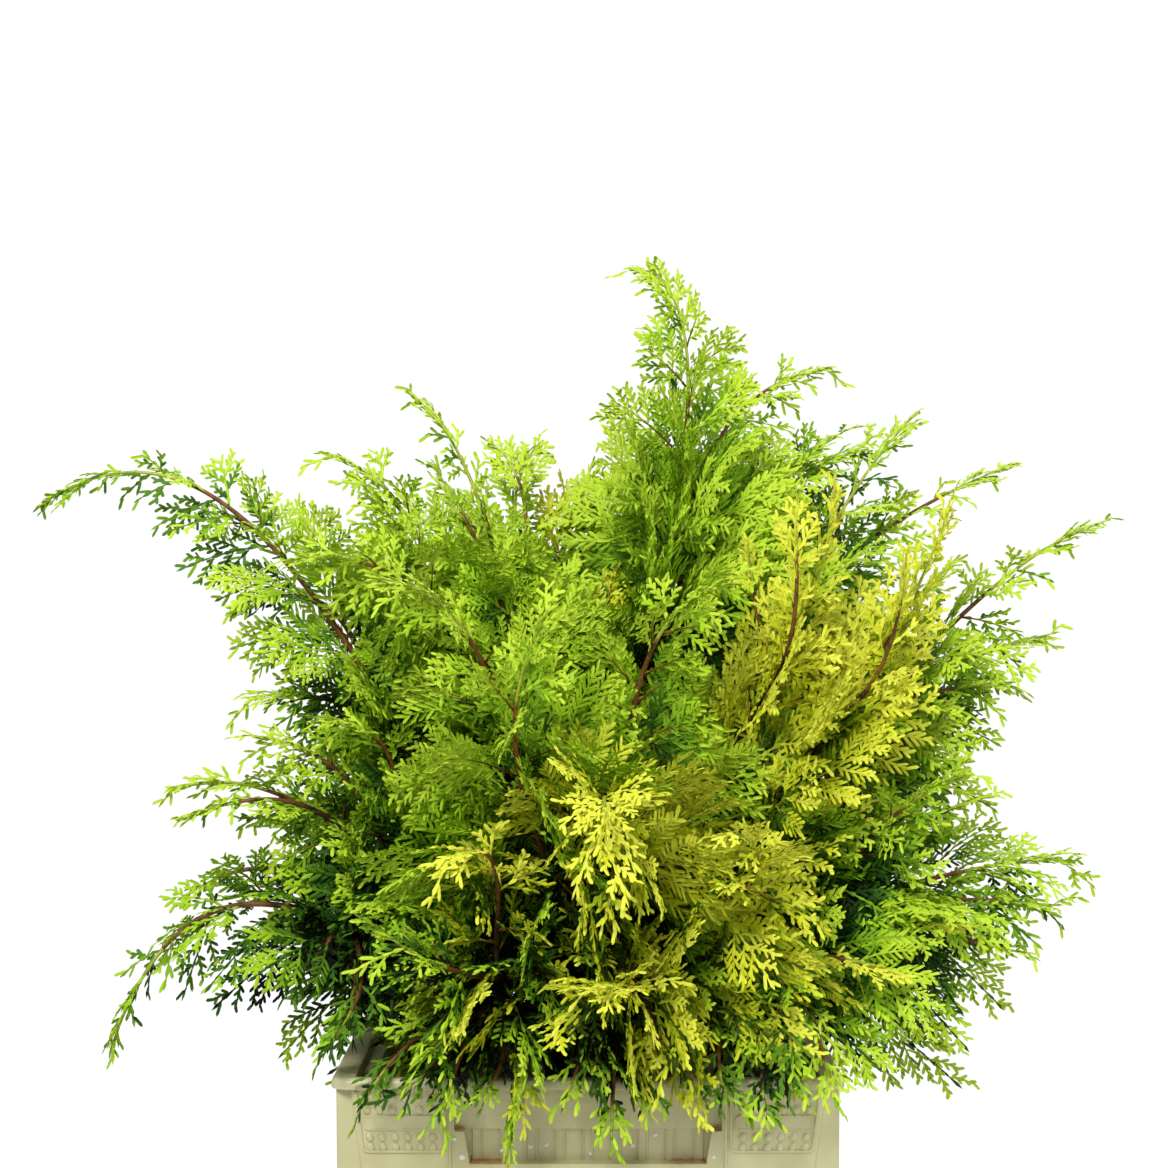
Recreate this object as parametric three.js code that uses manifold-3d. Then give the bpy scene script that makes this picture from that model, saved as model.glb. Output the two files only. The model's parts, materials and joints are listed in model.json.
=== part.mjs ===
// A golden plumosa sawara cypress in a cream plastic tub: a clump of feathery leading shoots that
// rise from one short stool in the tub's compost. Millimetres, +Z up, front of the tub towards -Y,
// origin at the centre of the tub's flat underside.

import * as THREE from "three";
import { mergeVertices } from "three/addons/utils/BufferGeometryUtils.js";
import Module from "manifold-3d";

const wasm = await Module();
wasm.setup();

// Driving sizes of the tub
const TUB_HEIGHT = 330;
const RIM_HALF = [200, 150]; // half width, half depth over the rolled rim
const RIM_HEIGHT = 10.5;
const BODY_TOP_HALF = [185, 144]; // outer half sizes of the tapered body under the rim
const BODY_BASE_HALF = [146, 107];
const BODY_CORNER = 9;
const RIM_CORNER = 14;
const WALL = 4;
const FLOOR = 5;
// Flanges that stand out from the two ends at each corner, upright on their outer faces
const FLANGE = { outer: 196, inner: 160, setBack: 2.5, deep: 27, drop: 122, slant: 34 };
const FEATURE_SINK = 1.2; // how far a raised feature is sunk into its wall
const PANEL = { from: 111, to: 179, top: 12, bottom: 57, line: 2.2, proud: 1.4 };
const PLATE = { from: 114, to: 176, top: 30, bottom: 39.5, proud: 1.0 };
const BEAD = { at: 107.4, width: 2.4, top: 12, bottom: 74, proud: 1.6 };
const BAND = { top: 78, bottom: 83, proud: 2 };
const GRIP = { half: 104, top: 12, bottom: 42, deep: 7 }; // smooth hand hold under the rim
const NICHE = { halfTop: 96, halfBottom: 92, bottom: 68, deep: 11 }; // fluted hollow below it
const FLUTE = { pitch: 21.6, count: 9, width: 7.4, proud: 2.5 };
const BACKING = { margin: 5, deep: 15 }; // the wall behind the grip is pressed inwards
const SIDE_GRIP_HALF = 56;

// Driving sizes of the plant
const GAP = 0.3; // clearance between pieces that touch
const SOIL_TOP = 285;
const STOOL = { centre: 338, radius: 42, waist: 35, flare: 52, flareHeight: 26 };
const SEAT_SPACING = 17; // least angle between two boughs on the stool, degrees
const SEAT_LOWEST = 14;
const SEAT_DEPTH = 3; // how far inside the stool's round a bough's curve begins
const BOUGH_RADIUS = 5.2;
const STEM_TIP_RADIUS = 1.5;
const BARE = 0.25; // share of a shoot that is bare bough before its mass begins
const SET_OFF = 0.36; // how far a shoot keeps its first direction, as a share of its reach
const APEX = { from: 0.93, past: 3 }; // the blade at a shoot's tip
// Sprays: spacing on the stem; the length of a shoot's longest sprays at which those at its tip would
// be nothing, and what share of any more they have; how far from the tip the longest are; angles in
// degrees to the stem at its base and tip, random spreads, and how much the spray bends at its end
const SPRAY = {
  pitch: 12,
  slender: 82,
  tipGain: 0.45,
  fullest: 300,
  leave: [60, 34],
  uprightLess: 14,
  leaveSpread: 16,
  rollSpread: 40,
  tiltSpread: 70,
  lengthSpread: 0.3,
  droop: -0.34,
  uprightDroop: 0.06,
  sweep: 0.12,
};
const FUSE_TOLERANCE = 1.0; // corners closer than this are merged where blades and stems are fused
const STEM_STEPS = { main: 5, fork: 4 }; // straight stretches in the solid of a mass's stem
const SPRAYS_CARRIED = { main: 7, fork: 3 }; // how many of a shoot's sprays these solids carry
const LARGER = 1.4; // each carried spray stands for its neighbours, so it is this much longer
const BLADE = { width: 0.64, middle: 0.42, thick: 0.018, leastThick: 1.8, sunk: 0.8 };
const CELL_MARGIN = 4.5; // how much nearer its own stems than any other a spray stays
const TUB_CLEARANCE = 1.5;
const GOLDEN_ANGLE = 137.5;
const CURVE_SAMPLES = 28;

const TINTS = {
  gold: "#d6cf2c",
  lemon: "#bcd840",
  lime: "#a9cb31",
  green: "#6fa62c",
  deep: "#3f7a26",
};
const TUB_COLOUR = "#cfc8a0";
const SOIL_COLOUR = "#3a2a1c";
const BARK_COLOUR = "#6e3a22";

// The leading shoots, one to a row: its name, where its tip is, the way the tip points (heading 0 is
// +X and 90 is +Y, then pitch), how long a stretch of it curves that way, the length of its longest
// sprays and its tint. A fork then names the shoot it leaves, and at what share of that one's length.
const SHOOTS = [
  ["top_leader", [38, 60, 982], 180, 8, 115, 135, "lime"],
  ["top_right", [210, 90, 899], 0, 5, 100, 130, "lime", "top_leader", 0.5],
  ["top_fan", [128, 120, 842], 50, 50, 100, 125, "green", "top_leader", 0.36],
  ["top_shoulder", [214, 100, 840], 15, 28, 80, 160, "green", "top_leader", 0.42],
  ["right_upper", [283, 80, 861], 10, 42, 120, 115, "green"],
  ["right_thin", [369, 100, 818], 0, 22, 110, 105, "lime", "right_upper", 0.5],
  ["right_leader", [434, 10, 767], 0, 14, 120, 105, "lime"],
  ["right_fan", [395, 40, 673], 0, 15, 120, 120, "green", "right_leader", 0.45],
  ["right_inner", [350, -10, 632], 0, 0, 100, 140, "lime", "right_leader", 0.36],
  ["gold_mid", [198, -70, 797], 60, 84, 170, 105, "gold"],
  ["gold_left", [128, -50, 750], 150, 80, 120, 100, "gold", "gold_mid", 0.45],
  ["gold_second", [164, -100, 780], 120, 84, 120, 95, "gold", "gold_mid", 0.52],
  ["gold_right", [294, -50, 782], 20, 74, 150, 115, "gold"],
  ["gold_inner", [254, -90, 742], 60, 80, 120, 100, "gold", "gold_right", 0.5],
  ["right_low", [389, -20, 489], 0, 4, 130, 170, "lime"],
  ["right_mid", [304, -90, 566], -10, 25, 110, 140, "lime", "right_low", 0.3],
  ["right_bottom", [306, -80, 440], -15, 0, 90, 95, "gold", "right_low", 0.42],
  ["right_skirt", [384, -40, 452], -5, -4, 100, 135, "lime", "right_low", 0.36],
  ["bottom_right", [246, -150, 408], -35, -18, 100, 92, "gold"],
  ["right_hang", [156, -196, 340], -88, -42, 80, 125, "green", "bottom_right", 0.42],
  ["front_mid_right", [104, -230, 530], 215, 20, 110, 160, "gold"],
  ["front_centre", [9, -288, 522], -98, -55, 130, 170, "gold"],
  ["front_left_plume", [-29, -200, 698], 20, 60, 150, 160, "lime"],
  ["mid_left", [-161, -150, 718], 190, 8, 120, 140, "lemon"],
  ["mid_centre", [116, -120, 718], 5, 12, 120, 150, "lime"],
  ["left_leader", [-151, 0, 873], 180, 28, 95, 105, "lime"],
  ["left_curl", [-84, 40, 836], 160, 38, 80, 115, "lime", "left_leader", 0.5],
  ["centre_curl", [-38, 70, 836], 30, 35, 90, 120, "lime"],
  ["centre_dark", [4, 90, 818], 20, 75, 100, 120, "green", "centre_curl", 0.5],
  ["left_upper", [-215, 20, 822], 180, 18, 130, 145, "lemon"],
  ["left_shoulder", [-244, -70, 732], 180, -12, 110, 140, "lemon", "left_upper", 0.42],
  ["left_plume", [-188, -10, 798], 165, 46, 90, 140, "lemon", "left_upper", 0.5],
  ["left_long", [-455, 0, 777], 180, -36, 230, 92, "green"],
  ["left_mid", [-292, 10, 690], 180, -28, 100, 115, "green", "left_long", 0.42],
  ["left_low", [-338, -60, 548], 180, -18, 120, 122, "lime"],
  ["left_fan", [-218, -95, 604], 180, -5, 100, 130, "lemon", "left_low", 0.34],
  ["left_hanging", [-382, -80, 340], 186, -72, 240, 105, "deep"],
  ["left_skirt", [-325, -60, 462], 185, -32, 100, 105, "green", "left_hanging", 0.42],
  ["left_bottom", [-200, -165, 362], 225, -32, 90, 120, "deep", "left_hanging", 0.36],
  ["front_left_low", [-161, -230, 459], 165, 35, 110, 150, "green"],
  ["front_left_gold", [-109, -260, 503], 215, -32, 100, 135, "gold", "front_left_low", 0.45],
  ["front_bottom_left", [-126, -202, 352], 235, -28, 100, 140, "green"],
  ["front_bottom", [-17, -260, 415], 195, 0, 110, 150, "gold"],
  ["front_hang_gold", [60, -206, 346], -75, -40, 100, 145, "gold", "front_bottom", 0.45],
  ["front_hang", [8, -198, 342], -90, -40, 90, 138, "green", "front_bottom_left", 0.42],
].map(shootOf);

function shootOf([name, tip, heading, pitch, nod, spray, tint, parent, at]) {
  return { name, tip, heading, pitch, nod, spray, tint, parent, at };
}

// Behind, where no side of it is in view, the clump is finished with a fan of like shoots. The outer
// ones are shorter by the share called ends, so that they stay behind the crown.
const BACK = {
  count: 7,
  headings: [12, 168],
  tiers: [30, 58, 14],
  reach: 500,
  ends: 0.34,
  spray: 160,
  tints: ["lime", "green", "gold"],
};

const RAD = Math.PI / 180;
const vec = (x, y, z) => new THREE.Vector3(x, y, z);
const lerp = THREE.MathUtils.lerp;

// A number from 0 to 1 that depends only on which shoot, which spray and which use asks for it.
function draw(shoot, spray, use) {
  let h =
    (Math.imul(shoot + 1, 73856093) ^ Math.imul(spray + 1, 19349663) ^ Math.imul(use + 1, 83492791)) >>> 0;
  h = Math.imul(h ^ (h >>> 13), 1274126177) >>> 0;
  h = (h ^ (h >>> 16)) >>> 0;
  return h / 4294967296;
}

function direction(headingDeg, pitchDeg) {
  const flat = Math.cos(pitchDeg * RAD);
  return vec(Math.cos(headingDeg * RAD) * flat, Math.sin(headingDeg * RAD) * flat, Math.sin(pitchDeg * RAD));
}

// Solids

function solid(geometry) {
  const g = geometry.clone();
  g.deleteAttribute("normal");
  g.deleteAttribute("uv");
  const merged = mergeVertices(g, 1e-4);
  const mesh = new wasm.Mesh({
    numProp: 3,
    vertProperties: new Float32Array(merged.attributes.position.array),
    triVerts: new Uint32Array(merged.index.array),
  });
  return new wasm.Manifold(mesh);
}

function geometryOf(made) {
  const m = made.getMesh();
  const points = new Float32Array(m.numVert * 3);
  for (let i = 0; i < m.numVert; i++) {
    points.set(m.vertProperties.subarray(i * m.numProp, i * m.numProp + 3), i * 3);
  }
  return new THREE.BufferGeometry()
    .setAttribute("position", new THREE.BufferAttribute(points, 3))
    .setIndex(new THREE.BufferAttribute(new Uint32Array(m.triVerts), 1));
}

const parts = new THREE.Group();

function addNode(name, geometry, colour, roughness) {
  const flat = geometry.index ? geometry.toNonIndexed() : geometry;
  flat.computeVertexNormals();
  const material = new THREE.MeshStandardMaterial({ color: colour, roughness, metalness: 0 });
  const mesh = new THREE.Mesh(flat, material);
  mesh.name = name;
  parts.add(mesh);
}

// Tub

function roundedRectangle(halfX, halfY, corner) {
  const shape = new THREE.Shape();
  shape.moveTo(halfX, -halfY + corner);
  shape.absarc(halfX - corner, halfY - corner, corner, 0, 90 * RAD);
  shape.absarc(-halfX + corner, halfY - corner, corner, 90 * RAD, 180 * RAD);
  shape.absarc(-halfX + corner, -halfY + corner, corner, 180 * RAD, 270 * RAD);
  shape.absarc(halfX - corner, -halfY + corner, corner, 270 * RAD, 360 * RAD);
  return shape;
}

// A block with rounded corners that narrows evenly from its top to its base.
function taperedBlock(topHalf, baseHalf, zBase, zTop, corner) {
  const shape = roundedRectangle(topHalf[0], topHalf[1], corner);
  const height = zTop - zBase;
  const g = new THREE.ExtrudeGeometry(shape, { depth: height, bevelEnabled: false, curveSegments: 2 });
  const p = g.attributes.position;
  for (let i = 0; i < p.count; i++) {
    const share = p.getZ(i) / height;
    p.setX(i, p.getX(i) * lerp(baseHalf[0] / topHalf[0], 1, share));
    p.setY(i, p.getY(i) * lerp(baseHalf[1] / topHalf[1], 1, share));
    p.setZ(i, p.getZ(i) + zBase);
  }
  return solid(g);
}

// Outer half sizes of the tapered body at a height.
function bodyHalf(z, inset) {
  const share = z / (TUB_HEIGHT - RIM_HEIGHT);
  return [0, 1].map((k) => lerp(BODY_BASE_HALF[k], BODY_TOP_HALF[k], share) - inset);
}

// The frame of one leaning wall: X along it, Y up its slope, Z outwards, origin at the rim's height.
function wallFrame(turnDeg) {
  const k = turnDeg % 180 === 0 ? 1 : 0;
  const slope = (BODY_TOP_HALF[k] - BODY_BASE_HALF[k]) / (TUB_HEIGHT - RIM_HEIGHT);
  const out = vec(0, -1, -slope).normalize();
  const along = vec(1, 0, 0);
  const up = out.clone().cross(along);
  const frame = new THREE.Matrix4().makeBasis(along, up, out);
  frame.setPosition(0, -BODY_TOP_HALF[k] - slope * RIM_HEIGHT, TUB_HEIGHT);
  return new THREE.Matrix4().makeRotationZ(turnDeg * RAD).multiply(frame);
}

// A prism on a wall over an outline of [along, down] points, from one height off the wall to another.
function onWall(frame, outline, low, high) {
  const shape = new THREE.Shape(outline.map(([u, v]) => new THREE.Vector2(u, -v)));
  const g = new THREE.ExtrudeGeometry(shape, { depth: high - low, bevelEnabled: false });
  g.translate(0, 0, low);
  return solid(g.applyMatrix4(frame));
}

const rectangle = (u0, u1, v0, v1) => [[u0, v1], [u1, v1], [u1, v0], [u0, v0]];

function panelFeatures(frame, side) {
  const span = (from, to) => (side > 0 ? [from, to] : [-to, -from]);
  const [u0, u1] = span(PANEL.from, PANEL.to);
  const [p0, p1] = span(PLATE.from, PLATE.to);
  const outer = onWall(frame, rectangle(u0, u1, PANEL.top, PANEL.bottom), -FEATURE_SINK, PANEL.proud);
  const { line } = PANEL;
  const inner = rectangle(u0 + line, u1 - line, PANEL.top + line, PANEL.bottom - line);
  const ring = outer.subtract(onWall(frame, inner, -2 * FEATURE_SINK, 2 * PANEL.proud));
  return [ring, onWall(frame, rectangle(p0, p1, PLATE.top, PLATE.bottom), -FEATURE_SINK, PLATE.proud)];
}

// A corner flange, cut back under its foot to meet the body.
function flangeSolid() {
  const top = TUB_HEIGHT - RIM_HEIGHT + 1;
  const foot = top - FLANGE.drop;
  const levels = [[top, FLANGE.outer], [foot + FLANGE.slant, FLANGE.outer], [foot, FLANGE.inner]];
  const corners = [];
  for (const [z, outer] of levels) {
    const front = bodyHalf(z, FLANGE.setBack)[1];
    for (const x of [FLANGE.inner, outer]) {
      corners.push([x, front, z], [x, front - FLANGE.deep, z]);
    }
  }
  return wasm.Manifold.hull(corners);
}

function tubSolid() {
  const mouth = TUB_HEIGHT + 1;
  const bodyTop = TUB_HEIGHT - RIM_HEIGHT;
  let tub = taperedBlock(BODY_TOP_HALF, BODY_BASE_HALF, 0, bodyTop, BODY_CORNER);
  tub = tub.add(taperedBlock(RIM_HALF, RIM_HALF, bodyTop, TUB_HEIGHT, RIM_CORNER));
  for (const sx of [-1, 1]) {
    for (const sy of [-1, 1]) {
      tub = tub.add(flangeSolid().scale([sx, sy, 1]));
    }
  }
  const inside = [bodyHalf(mouth, WALL), bodyHalf(FLOOR, WALL)];
  tub = tub.subtract(taperedBlock(...inside, FLOOR, mouth, BODY_CORNER - WALL / 2));
  for (const turn of [0, 90, 180, 270]) {
    const frame = wallFrame(turn);
    const long = turn % 180 === 0;
    const k = long ? 0 : 1;
    const gripHalf = long ? GRIP.half : SIDE_GRIP_HALF;
    const gripBottom = long ? NICHE.bottom : GRIP.bottom;
    const wallHalf = BODY_BASE_HALF[k] - BODY_CORNER;
    const backing = rectangle(
      -gripHalf - BACKING.margin, gripHalf + BACKING.margin, GRIP.top - 2, gripBottom + BACKING.margin,
    );
    const raised = [
      onWall(frame, backing, -BACKING.deep, 0),
      onWall(frame, rectangle(-wallHalf, wallHalf, BAND.top, BAND.bottom), -FEATURE_SINK, BAND.proud),
    ];
    const beadAt = long ? BEAD.at : SIDE_GRIP_HALF + 12;
    for (const side of [-1, 1]) {
      const u = side * beadAt;
      const line = rectangle(u - BEAD.width / 2, u + BEAD.width / 2, BEAD.top, BEAD.bottom);
      raised.push(onWall(frame, line, -FEATURE_SINK, BEAD.proud));
      if (long) raised.push(...panelFeatures(frame, side));
    }
    for (const piece of raised) tub = tub.add(piece);
    const grip = rectangle(-gripHalf, gripHalf, GRIP.top, GRIP.bottom);
    tub = tub.subtract(onWall(frame, grip, -GRIP.deep, 3));
    if (long) {
      const hollow = [
        [-NICHE.halfBottom, NICHE.bottom], [NICHE.halfBottom, NICHE.bottom],
        [NICHE.halfTop, GRIP.bottom - 1], [-NICHE.halfTop, GRIP.bottom - 1],
      ];
      tub = tub.subtract(onWall(frame, hollow, -NICHE.deep, 3));
      for (let i = 0; i < FLUTE.count; i++) {
        const u = (i - (FLUTE.count - 1) / 2) * FLUTE.pitch;
        const flute = rectangle(u - FLUTE.width / 2, u + FLUTE.width / 2, GRIP.bottom - 1, NICHE.bottom + 1);
        tub = tub.add(onWall(frame, flute, -NICHE.deep - 1, -NICHE.deep + FLUTE.proud));
      }
    }
  }
  return tub;
}

function compostSolid() {
  const inset = WALL + GAP;
  const low = FLOOR + GAP;
  const halves = [bodyHalf(SOIL_TOP, inset), bodyHalf(low, inset)];
  let fill = taperedBlock(...halves, low, SOIL_TOP, BODY_CORNER);
  for (const turn of [0, 90, 180, 270]) {
    const long = turn % 180 === 0;
    const half = (long ? GRIP.half : SIDE_GRIP_HALF) + BACKING.margin + GAP;
    const bottom = (long ? NICHE.bottom : GRIP.bottom) + BACKING.margin + GAP;
    const room = onWall(wallFrame(turn), rectangle(-half, half, 0, bottom), -BACKING.deep - GAP, 1);
    fill = fill.subtract(room);
  }
  return fill;
}

// Stool

// The stool, or with a margin the room it takes up.
function stoolSolid(margin) {
  const { centre, flareHeight } = STOOL;
  const [radius, waist, flare] = [STOOL.radius + margin, STOOL.waist + margin, STOOL.flare + margin];
  const foot = SOIL_TOP + GAP;
  const outline = [new THREE.Vector2(0, foot), new THREE.Vector2(flare, foot)];
  for (const share of [0.35, 0.7, 1]) {
    const narrowed = lerp(flare, waist, Math.sin(share * 90 * RAD));
    outline.push(new THREE.Vector2(narrowed, foot + flareHeight * share));
  }
  for (let lift = -20; lift < 90; lift += 20) {
    outline.push(new THREE.Vector2(radius * Math.cos(lift * RAD), centre + radius * Math.sin(lift * RAD)));
  }
  outline.push(new THREE.Vector2(0, centre + radius));
  const g = new THREE.LatheGeometry(outline, 14);
  const p = g.attributes.position;
  for (let i = 0; i < p.count; i++) {
    // The flare runs out in five low roots, and the rest stays round for the boughs' seats.
    const low = THREE.MathUtils.clamp(1 - (p.getY(i) - foot) / flareHeight, 0, 1);
    const swell = 1 + 0.1 * low * Math.cos(5 * Math.atan2(p.getZ(i), p.getX(i)));
    p.setX(i, p.getX(i) * swell);
    p.setZ(i, p.getZ(i) * swell);
  }
  return solid(g.rotateX(90 * RAD));
}

// Shoots

function backShoots() {
  const { count, headings, tiers, reach, ends, spray, tints } = BACK;
  const made = [];
  for (let i = 0; i < count; i++) {
    const heading = lerp(...headings, i / (count - 1));
    const lift = tiers[i % tiers.length] + 10 * (draw(i, 0, 50) - 0.5);
    const narrower = 1 - ends * Math.cos(heading * RAD) ** 2;
    const far = reach * (0.92 + 0.16 * draw(i, 0, 51)) * narrower;
    const name = "back_" + (i + 1);
    const tipAt = (turn, up, length) => {
      const d = direction(heading + turn, up);
      const squash = 0.86 - 0.12 * Math.sin((heading + turn) * RAD);
      return [d.x * length * squash, d.y * length * squash, STOOL.centre + d.z * length * 1.08];
    };
    const tint = tints[i % tints.length];
    made.push(shootOf([name, tipAt(0, lift, far), heading, lift * 0.5 - 6, 120, spray, tint]));
    const turn = i % 2 ? 15 : -15;
    const side = [name + "_fork", tipAt(turn, lift + 17, far * 0.9), heading + turn, lift * 0.4, 100];
    made.push(shootOf([...side, spray, tints[(i + 1) % tints.length], name, 0.45]));
  }
  return made;
}

// Seats on the stool: each bough sets off roughly towards its tip, and crowded seats move apart.
function seatDirections(mains) {
  const centre = vec(0, 0, STOOL.centre);
  const seats = mains.map(({ tip }) => {
    const to = vec(...tip).sub(centre);
    const lift = Math.atan2(to.z, Math.hypot(to.x, to.y)) / RAD;
    return direction(Math.atan2(to.y, to.x) / RAD, Math.max(lift * 0.75 + 20, SEAT_LOWEST + 6));
  });
  const least = 2 * Math.sin((SEAT_SPACING / 2) * RAD);
  for (let round = 0; round < 200; round++) {
    for (let i = 0; i < seats.length; i++) {
      for (let j = i + 1; j < seats.length; j++) {
        const apart = seats[i].clone().sub(seats[j]);
        const short = least - apart.length();
        if (short <= 0) continue;
        apart.normalize().multiplyScalar(short * 0.55);
        seats[i].add(apart);
        seats[j].sub(apart);
        for (const seat of [seats[i], seats[j]]) {
          seat.z = Math.max(seat.z, Math.sin(SEAT_LOWEST * RAD));
          seat.normalize();
        }
      }
    }
  }
  return seats;
}

// A curve by its four control points, set off along one direction and ending along another.
function arc(from, setOff, start, tip, shoot) {
  const end = direction(shoot.heading, shoot.pitch);
  const into = tip.clone().addScaledVector(end, -shoot.nod);
  const out = from.clone().addScaledVector(setOff, start);
  return new THREE.CubicBezierCurve3(from, out, into, tip);
}

function growShoots() {
  const shoots = [...SHOOTS, ...backShoots()];
  const mains = shoots.filter((s) => !s.parent);
  const seats = seatDirections(mains);
  mains.forEach((s, i) => {
    const from = vec(0, 0, STOOL.centre).addScaledVector(seats[i], STOOL.radius - SEAT_DEPTH);
    const tip = vec(...s.tip);
    s.curve = arc(from, seats[i], from.distanceTo(tip) * SET_OFF, tip, s);
    s.bare = BARE;
    s.rootRadius = BOUGH_RADIUS;
  });
  for (const s of shoots.filter((other) => other.parent)) {
    const parent = shoots.find((other) => other.name === s.parent);
    const from = parent.curve.getPointAt(s.at);
    const tip = vec(...s.tip);
    s.curve = arc(from, parent.curve.getTangentAt(s.at), from.distanceTo(tip) * SET_OFF, tip, s);
    s.bare = 0;
    s.rootRadius = lerp(BOUGH_RADIUS, STEM_TIP_RADIUS, s.at);
  }
  shoots.forEach((s, i) => {
    s.index = i;
    s.rank = s.parent ? "fork" : "main";
    s.mass = s.parent ?? s.name;
    s.length = s.curve.getLength();
    s.samples = s.curve.getSpacedPoints(CURVE_SAMPLES);
  });
  return shoots;
}

// A point on the straight stretches that a limb's solid has between its rings.
function onChord(shoot, first, share) {
  const steps = STEM_STEPS[shoot.rank];
  const place = ((share - first) / (1 - first)) * steps;
  const k = Math.min(Math.floor(place), steps - 1);
  const ring = (n) => shoot.curve.getPointAt(lerp(first, 1, n / steps));
  return ring(k).lerp(ring(k + 1), place - k);
}

const radiusAt = (shoot, share) => lerp(shoot.rootRadius, STEM_TIP_RADIUS, share);

// A tapering round limb along a stretch of a shoot's curve, with flat ends.
function limb(shoot, from, to, sides, steps) {
  const points = [];
  const faces = [];
  let side = vec(0, 0, 0);
  for (let k = 0; k <= steps; k++) {
    const share = lerp(from, to, k / steps);
    const centre = shoot.curve.getPointAt(share);
    const along = shoot.curve.getTangentAt(share);
    if (k === 0) side = Math.abs(along.z) > 0.9 ? vec(1, 0, 0) : vec(0, 0, 1);
    side = side.addScaledVector(along, -side.dot(along)).normalize();
    const other = along.clone().cross(side);
    for (let j = 0; j < sides; j++) {
      const turn = (j / sides) * 360 * RAD;
      const out = side.clone().multiplyScalar(Math.cos(turn)).addScaledVector(other, Math.sin(turn));
      points.push(...centre.clone().addScaledVector(out, radiusAt(shoot, share)).toArray());
      if (k === steps) continue;
      const [a, b] = [k * sides + j, k * sides + ((j + 1) % sides)];
      faces.push(a, b, b + sides, a, b + sides, a + sides);
    }
  }
  for (let j = 1; j < sides - 1; j++) {
    const last = steps * sides;
    faces.push(0, j + 1, j, last, last + j, last + j + 1);
  }
  return new THREE.BufferGeometry()
    .setAttribute("position", new THREE.BufferAttribute(new Float32Array(points), 3))
    .setIndex(faces);
}

// Sprays

// The sprays of one shoot: where each leaves the stem, which way, how long, and the way it lies.
function spraysOf(shoot) {
  const leafy = shoot.length * (1 - shoot.bare);
  const count = Math.max(5, Math.round(leafy / SPRAY.pitch));
  const upright = shoot.tint === "gold" && shoot.pitch > 45;
  const made = [];
  for (let j = 0; j < count; j++) {
    const share = (j + 0.5) / count;
    const at = lerp(shoot.bare, 1, share);
    const root = shoot.curve.getPointAt(at);
    const along = shoot.curve.getTangentAt(at);
    const flat = vec(-along.y, along.x, 0);
    const side = (flat.length() > 0.05 ? flat : vec(1, 0, 0)).normalize();
    const other = along.clone().cross(side);
    const spread = (range, use) => range * (draw(shoot.index, j, use) - 0.5);
    const roll = (j * GOLDEN_ANGLE + spread(SPRAY.rollSpread, 1)) * RAD;
    const radial = side.multiplyScalar(Math.cos(roll)).addScaledVector(other, Math.sin(roll));
    const lean = lerp(...SPRAY.leave, share) - (upright ? SPRAY.uprightLess : 0);
    const leave = (lean + spread(SPRAY.leaveSpread, 2)) * RAD;
    const way = along.clone().multiplyScalar(Math.cos(leave)).addScaledVector(radial, Math.sin(leave));
    const toTip = shoot.length * (1 - at);
    const atTip = (shoot.spray - SPRAY.slender) * SPRAY.tipGain;
    const longest = lerp(atTip, shoot.spray, THREE.MathUtils.smoothstep(toTip, 0, SPRAY.fullest));
    const length = longest * (1 + spread(SPRAY.lengthSpread, 3));
    const tilt = spread(SPRAY.tiltSpread, 4) * RAD;
    const lateral = along.clone().addScaledVector(way, -along.dot(way)).normalize();
    const face = way.clone().cross(lateral);
    lateral.multiplyScalar(Math.cos(tilt)).addScaledVector(face, Math.sin(tilt));
    const bend = vec(0, 0, upright ? SPRAY.uprightDroop : SPRAY.droop).addScaledVector(along, SPRAY.sweep);
    made.push({ index: j, share, root, along, way, lateral, length, bend });
  }
  return made;
}

// A spray as a toothed blade that droops, as thick as a leaf at its middle and sharp at its edge:
// [along, across] corners as shares of its length and width, all in sight of the middle.
const BLADE_OUTLINE = [
  [0, 0], [0.3, 0.5], [0.42, 0.17], [0.74, 0.36], [1, 0], [0.54, -0.5], [0.34, -0.16],
];

function bladePoint(spray, along, across) {
  return spray.root.clone()
    .addScaledVector(spray.way, along * spray.length)
    .addScaledVector(spray.bend, along * along * spray.length)
    .addScaledVector(spray.lateral, across * BLADE.width * spray.length);
}

function bladeSolid(spray) {
  const count = BLADE_OUTLINE.length;
  const points = BLADE_OUTLINE.map(([u, v]) => bladePoint(spray, u, v));
  points[0].addScaledVector(spray.way, -spray.sunk);
  const thick = Math.max(BLADE.leastThick, spray.length * BLADE.thick);
  const face = spray.way.clone().cross(spray.lateral).normalize();
  for (const side of [0.5, -0.5]) {
    points.push(bladePoint(spray, BLADE.middle, 0).addScaledVector(face, side * thick));
  }
  const faces = [];
  for (let i = 0; i < count; i++) {
    const next = (i + 1) % count;
    faces.push(next, i, count, i, next, count + 1);
  }
  const corners = new Float32Array(points.flatMap((p) => p.toArray()));
  const g = new THREE.BufferGeometry().setAttribute("position", new THREE.BufferAttribute(corners, 3));
  return solid(g.setIndex(faces));
}

// A spray that has no room where it grew is turned round its stem, or trimmed, or left out.
const TRIMS = [1, 0.82, 0.66, 0.52];
const TURNS = [0, 45, -45, 90, -90];
const ROLLS_AND_TRIMS = TRIMS.flatMap((trim) => TURNS.map((turn) => [turn, trim]));

function turned(spray, turn, trim) {
  const turnAbout = (v) => v.clone().applyAxisAngle(spray.along, turn * RAD);
  const [way, lateral] = [turnAbout(spray.way), turnAbout(spray.lateral)];
  return { ...spray, way, lateral, length: spray.length * trim };
}

// Points all round a blade's edge and along its middle, to test where it lies.
function bladeProbes(spray) {
  const probes = [];
  BLADE_OUTLINE.forEach(([u, v], i) => {
    const [w, x] = BLADE_OUTLINE[(i + 1) % BLADE_OUTLINE.length];
    probes.push(bladePoint(spray, u, v));
    probes.push(bladePoint(spray, (u + w) / 2, (v + x) / 2));
    probes.push(bladePoint(spray, u, 0));
  });
  return probes.filter((p) => p.distanceTo(spray.root) > 0.12 * spray.length);
}

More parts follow.
